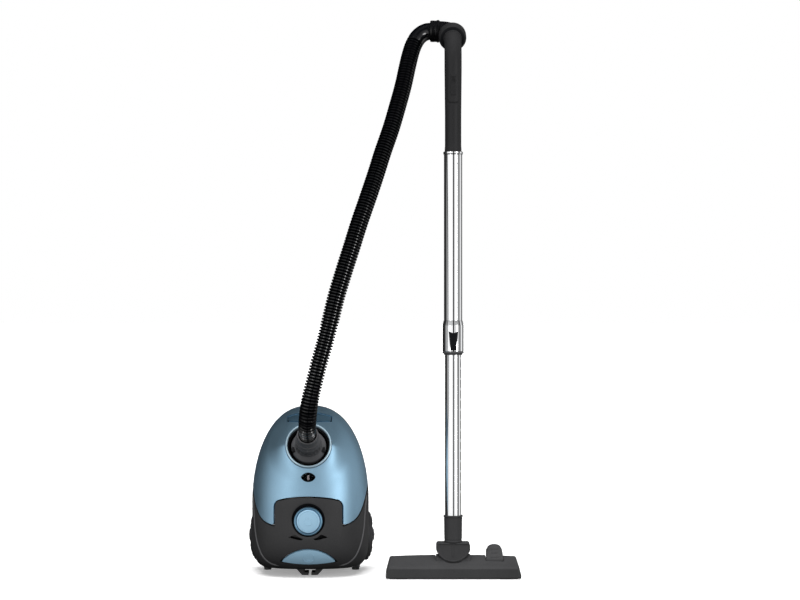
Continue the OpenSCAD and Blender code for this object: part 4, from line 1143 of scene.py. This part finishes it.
def make_floor_pedal():
    """Rocker seen from the front: a plate with a round crown and embossed lines."""
    half, crown_half, crown_drop = 16.9, 15.6, 9
    profile = rounded([(-6.5, 26.5, 1), (-8.8, 33, 1), (-7.3, 36.8, 1.2), (10, 51, 3), (20, 59.4, 3),
                       (25, 61.8, 1.5), (29.8, 58, 1.5), (28.8, 50, 2), (14, 26, 1), (4, 20.2, 2)], steps=4)
    rows = []
    for x in np.concatenate([[-half], np.linspace(-half + 0.5, half - 0.5, 41), [half]]):
        drop = crown_drop * (1 - math.sqrt(max(0.0, 1 - (x / crown_half) ** 2)))
        shape = profile.copy()
        high = np.clip((shape[:, 1] - 40) / 21.8, 0, 1)
        shape[:, 1] -= drop * high ** 1.5
        inset = 1 - math.sqrt(max(0.0, 1 - max(0.0, abs(x) - half + 1) ** 2))
        centre = shape.mean(0)
        shape = shape + unit(centre - shape) * inset
        rows.append(np.column_stack([x * (1 - 0.1 * high) + PEDAL_X, shape]))
    body = loft(rows)
    slope = unit(np.array((0, 17.3, 14.2)))
    normal = np.array((0, -slope[2], slope[1]))
    marks = []
    for reach, width in ((4, 20), (15, 15), (25.5, 17)):
        centre = np.array((PEDAL_X, -7.3, 37)) + slope * reach + normal * 0.3
        line = np.array([centre + (x, 0, 0) for x in np.linspace(-width / 2, width / 2, 16)])
        marks.append(bead(line, np.tile(normal, (16, 1)), 2.0, 0.9))
    piece("surface_pedal", together(body, *marks), HEAD, "floor_pedal", at=WAND, stands_for=("floor_pedal",))


def make_bristles():
    """Rows of tufts in two holding strips, which four bars join to the pedal's slide."""
    spacing, back = 3.2, -23.5
    parts = []
    for y, half, low in ((-21.5, 116, 1.2), (20.5, 88, 1.2)):
        parts.append(block(half, 2, 1, 6, 8.5, 0.4, y=y))
        for k in range(int(half * 2 / spacing)):
            x = -half + 2 + spacing * k
            splay = 0.5 * math.sin(2.4 * k)
            tuft = lathe([(0, low, 0), (1.55, low, 0.2), (1.0, 6.2, 0.1), (0, 6.2, 0)], np.arange(0, 360, 60))
            parts.append(moved(tuft, shift(x + splay * 0.4, y + splay, 0)))
    for x, reach, width in ((-96, 29, 8), (96, 29, 8), (-80, 46, 6), (54, 46, 6)):
        parts.append(block(width / 2, reach / 2, 0.8, 8.4, 10.4, 0.4, x, back + reach / 2))
    piece("bristle_rows", together(*parts), BRISTLE, "brush_strips", at=WAND, stands_for=("brush_strips",))


make_lower_housing()
make_wheels()
make_handle()
make_elbow()
make_tubes()
make_lock_button()
make_head()
make_yoke()
make_floor_pedal()
make_bristles()


# Inside the canister: soft pieces and card.

PORT_Z, MOTOR_AT = 259, (-38, -8)


def pad(half_x, half_y, low, high, crown):
    """A fleece pad with rounded sides and slightly swollen faces."""
    outline = rectangle(half_x, half_y, 3)
    shares = (0.1, 0.3, 0.5, 0.7, 0.86, 0.95)
    rings = []
    for share, height in [*((s, 0) for s in shares), (1, 0.3), (1, 0.7), *((s, 1) for s in reversed(shares))]:
        swell = crown * (1 - share ** 3)
        z = low + (high - low) * height + (swell if height == 1 else -swell if height == 0 else 0)
        rings.append(np.column_stack([outline * share, np.full(len(outline), z)]))
    return loft(rings)


def make_filters():
    pads = (("fleece_before_motor", "motor_filter", MOTOR_AT, 35.6, 25.6, 149.4, 155.8),
            ("fleece_at_exhaust", "exhaust_filter", GRILLE_AT, 22.8, 16.8, 19.0, 26.6))
    for name, node, (x, y), half_x, half_y, low, high in pads:
        made = piece(name, pad(half_x, half_y, low, high, 0.7), FLEECE, "canister",
                     at=CANISTER @ shift(x, y, 0), stands_for=(node,), sharp=60)


def make_dust_bag():
    """A fleece bag that narrows upwards, with folds, a welded seam at each side and a neck."""
    heights = 225.5 - 64.5 * np.cos(np.linspace(0.06, math.pi - 0.06, 64))
    angles = np.radians(np.arange(0, 360, 2.5))
    rings, seams = [], {-1: [], 1: []}
    low_z, high_z, low_r, high_r = 188, 268, 27, 21
    for z in heights:
        low = math.sqrt(max(0.0, low_r ** 2 - max(0, low_z - z) ** 2)) / low_r
        high = math.sqrt(max(0.0, high_r ** 2 - max(0, z - high_z) ** 2)) / high_r
        share = np.clip((z - low_z) / (high_z - low_z), 0, 1)
        ends = low * high
        half = (91 - 54 * share) * (0.62 + 0.38 * ends) * (ends > 0) - 0.5
        depth = (34 - 12.5 * share) * ends
        middle_y = 21 - 5 * share
        x, y = half * signed_power(np.cos(angles), 0.8), depth * signed_power(np.sin(angles), 0.8)
        upright = 4 * angles + 1.4 * np.sin(z / 23)
        level = z / 15 + 1.8 * np.cos(angles) + 0.5 * np.sin(5 * angles)
        fold = 1.7 * (1 - np.abs(np.sin(upright))) ** 4
        fold = fold + 1.3 * (1 - np.abs(np.sin(level))) ** 5
        fold = fold + 0.5 * np.sin(9 * angles + z / 7) * np.sin(z / 9)
        size = np.maximum(np.hypot(x, y), 1)
        keep = 1 - (1.4 + fold) * ends / size
        rings.append(np.column_stack([x * keep, middle_y + y * keep, np.full(len(angles), z)]))
        for side in (-1, 1):
            edge = side * (half - 1.5)
            crimp = 0.5 * math.sin(z * 1.3)
            free = edge + side * 6
            seams[side].append([(edge, middle_y - 0.5, z), (free, middle_y - 0.4 + crimp, z),
                                (free, middle_y + 0.4 + crimp, z), (edge, middle_y + 0.5, z)])
    strips = [loft(rows[3:-3]) for rows in seams.values()]
    neck = lathe([(23.4, 16.8, 0.2), (24.0, 16.8, 0.3), (24.4, 9, 4), (25.6, 3, 2), (30, -3, 2),
                  (23.4, -4, 0.5)])
    neck = moved(neck, shift(0, 0, PORT_Z) @ TO_VIEWER)
    made = piece("fleece_bag", together(loft(rings), *strips, neck), PAPER, "canister",
                 stands_for=("dust_bag",), sharp=60)


def make_bag_collar():
    front = -19.4
    outline = rounded([(-39.8, 236.2, 5), (39.8, 236.2, 5), (39.8, 289.8, 8), (-39.8, 289.8, 8)])
    skin = trimmed(flat_skin(42, 234, 292, front), less(minus(outline_field(outline)), 0.3),
                   less(ring_field(0, PORT_Z, 22), 0.3))
    plate = rolled(skin, 0.3, 2.0)
    lip = moved(lathe([(21.9, 19.3, 0.2), (24.5, 19.3, 0.2), (24.5, 19.9, 0.2), (21.9, 19.9, 0.2)]),
                shift(0, 0, PORT_Z) @ TO_VIEWER)
    ribs = []
    for z in (240.5, 243.5):
        line = np.array([(x, front, z) for x in np.linspace(-26, 26, 20)])
        ribs.append(bead(line, np.tile((0.0, -1.0, 0.0), (20, 1)), 1.2, 0.9))
    piece("card_collar", together(plate, lip, *ribs), CARD, "canister", stands_for=("bag_collar",))


def make_seal():
    """A rubber bulb that lies in the rear half's rim, where the lid closes on it."""
    inset, low = WALL + 2.2, 157
    z = low + (CROWN - low) * np.sin(np.linspace(0, math.pi / 2, 60))
    side = np.stack([form_sizes(z)[0], z], 1)
    rim = np.vstack([side, side[-2::-1] * (-1, 1)])
    tangents = unit(np.gradient(rim, axis=0))
    rim = rim + np.stack([-tangents[:, 1], tangents[:, 0]], 1) * inset
    line, _ = along([(x, 2.5, z) for x, z in rim[::4]], 2.5)
    radii = [np.where(np.arange(20) % 10 < 1, 1.1, 1.45)] * len(line)
    piece("lid_seal_bulb", sweep(line, radii, 20, start_side=(0, 1, 0)), RUBBER, "canister",
          stands_for=("cover_seal",))


def make_castor_roller():
    half = [(2.6, 7.4, 0.2), (6, 7.4, 0.3), (6, 6.4, 0.3), (11, 6.4, 0.4), (11.2, 7.3, 0.4), (12.6, 7.3, 1),
            (13.9, 5, 1.5), (13.9, 1.2, 0.3), (13.3, 0.8, 0.2)]
    roller = lathe([(radius, -z, rounding) for radius, z, rounding in half] + half[::-1])
    piece("castor_roller", roller, TYRE, "castor_wheel", at=CANISTER @ shift(0, 91, 257) @ turn(90, "Y"),
          stands_for=("castor_wheel",))


# CAD nodes that stay as they are get a finish of their own.

NODE_FINISHES = {
    HOUSING: ("parking_bracket", "exhaust_grille"),
    INNER: ("bulkhead", "reel_bracket", "roller_axles"),
    WHITE: ("filter_frame", "cord_drum"),
    ACCENT: ("bag_holder",),
    BLACK: ("castor_fork", "power_switch", "cord_outlet_grommet", "motor_mounts", "head_rollers",
            "sole_plate"),
    STEEL: ("fan_case", "motor_stator", "rewind_spring", "hinge_pins", "housing_screws", "wheel_axles",
            "pedal_pin"),
    COPPER: ("motor_rotor",),
}


def finish_nodes():
    for finish, names in NODE_FINISHES.items():
        for name in names:
            for material_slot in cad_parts[name].material_slots:
                material_slot.material = finish


make_filters()
make_dust_bag()
make_bag_collar()
make_seal()
make_castor_roller()
finish_nodes()


# Floor and light.

FLOOR_GLOW = 0.3
LAMP_AIM = Vector((0, 0, 0.6))

# Brightness at each bearing: 0.25 is to the left, 0.5 towards the viewer and 0.75 to the right.
STUDIO_BANDS = ((0.0, 0.02), (0.22, 0.03), (0.25, 0.30), (0.295, 0.45), (0.305, 1.10), (0.485, 1.10),
                (0.492, 0.02), (0.528, 0.02), (0.535, 0.90), (0.66, 0.70), (0.715, 0.12), (0.745, 0.12),
                (0.755, 1.0), (0.80, 1.0), (0.83, 0.25), (1.0, 0.12))


def make_stage():
    """A pale floor with a slight glow of its own, which keeps it white up to the horizon."""
    reach = 40
    corners = [(-reach, -reach, 0), (reach, -reach, 0), (reach, reach, 0), (-reach, reach, 0)]
    mesh = bpy.data.meshes.new("floor")
    mesh.from_pydata(corners, [], [(0, 1, 2, 3)])
    floor = bpy.data.objects.new("floor", mesh)
    scene.collection.objects.link(floor)
    pale = material("pale_floor", (0.9, 0.9, 0.9, 1), 0.8, drift=0.0, specular=0.0)
    shader = pale.node_tree.nodes["Principled BSDF"]
    shader.inputs["Emission Color"].default_value = (1, 1, 1, 1)
    shader.inputs["Emission Strength"].default_value = FLOOR_GLOW
    mesh.materials.append(pale)
    floor.visible_glossy = False
    floor.visible_diffuse = False


def make_world():
    """A studio of bright and dark bands, which reflections and light see, while the camera sees white."""
    world = bpy.data.worlds.new("studio")
    scene.world = world
    world.use_nodes = True
    nodes, links = world.node_tree.nodes, world.node_tree.links
    nodes.clear()
    coords = nodes.new("ShaderNodeTexCoord")
    parts = nodes.new("ShaderNodeSeparateXYZ")
    links.new(coords.outputs["Generated"], parts.inputs["Vector"])

    def maths(operation, a, b):
        node = nodes.new("ShaderNodeMath")
        node.operation = operation
        for socket, value in zip(node.inputs, (a, b)):
            if isinstance(value, (int, float)):
                socket.default_value = value
            else:
                links.new(value, socket)
        return node.outputs["Value"]

    bearing = maths("ARCTAN2", parts.outputs["X"], maths("MULTIPLY", parts.outputs["Y"], -1))
    bearing = maths("ADD", maths("DIVIDE", bearing, 2 * math.pi), 0.5)
    bands = nodes.new("ShaderNodeValToRGB")
    ramp = bands.color_ramp
    while len(ramp.elements) < len(STUDIO_BANDS):
        ramp.elements.new(0.5)
    for element, (place, value) in zip(ramp.elements, STUDIO_BANDS):
        element.position = place
        element.color = (value, value, value, 1)
    links.new(bearing, bands.inputs["Fac"])
    studio = nodes.new("ShaderNodeBackground")
    links.new(bands.outputs["Color"], studio.inputs["Color"])
    # Less light comes from overhead and from underneath, so that reflections darken away from the level.
    shares = []
    for start, end in ((0.12, 0.75), (-0.18, -0.7)):
        fall = nodes.new("ShaderNodeMapRange")
        fall.inputs["From Min"].default_value, fall.inputs["From Max"].default_value = start, end
        fall.inputs["To Min"].default_value, fall.inputs["To Max"].default_value = 1.0, 0.12
        links.new(parts.outputs["Z"], fall.inputs["Value"])
        shares.append(fall.outputs["Result"])
    links.new(maths("MULTIPLY", *shares), studio.inputs["Strength"])
    backdrop = nodes.new("ShaderNodeBackground")
    backdrop.inputs["Color"].default_value = (1, 1, 1, 1)
    shown = nodes.new("ShaderNodeLightPath")
    mix = nodes.new("ShaderNodeMixShader")
    links.new(shown.outputs["Is Camera Ray"], mix.inputs["Fac"])
    links.new(studio.outputs["Background"], mix.inputs[1])
    links.new(backdrop.outputs["Background"], mix.inputs[2])
    output = nodes.new("ShaderNodeOutputWorld")
    links.new(mix.outputs["Shader"], output.inputs["Surface"])


def make_lamp(name, place, width, height, watts):
    """An upright strip light that faces the middle of the machine."""
    data = bpy.data.lights.new(name, "AREA")
    data.shape, data.size, data.size_y, data.energy = "RECTANGLE", width, height, watts
    lamp = bpy.data.objects.new(name, data)
    lamp.location = place
    lamp.rotation_euler = (LAMP_AIM - lamp.location).to_track_quat("-Z", "Y").to_euler()
    scene.collection.objects.link(lamp)


def make_sun():
    """Wide, nearly overhead light that keeps the floor white up to the horizon."""
    data = bpy.data.lights.new("sky_light", "SUN")
    data.energy, data.angle = 4.4, math.radians(64)
    sun = bpy.data.objects.new("sky_light", data)
    sun.rotation_euler = (math.radians(14), 0, 0)
    sun.visible_glossy = False
    scene.collection.objects.link(sun)


make_stage()
make_world()
make_lamp("right_strip", (2.1, -2.3, 0.75), 0.46, 1.9, 30)
make_lamp("left_strip", (-1.6, -2.7, 0.75), 0.34, 1.9, 8)
make_sun()
scene.view_settings.view_transform = "Standard"
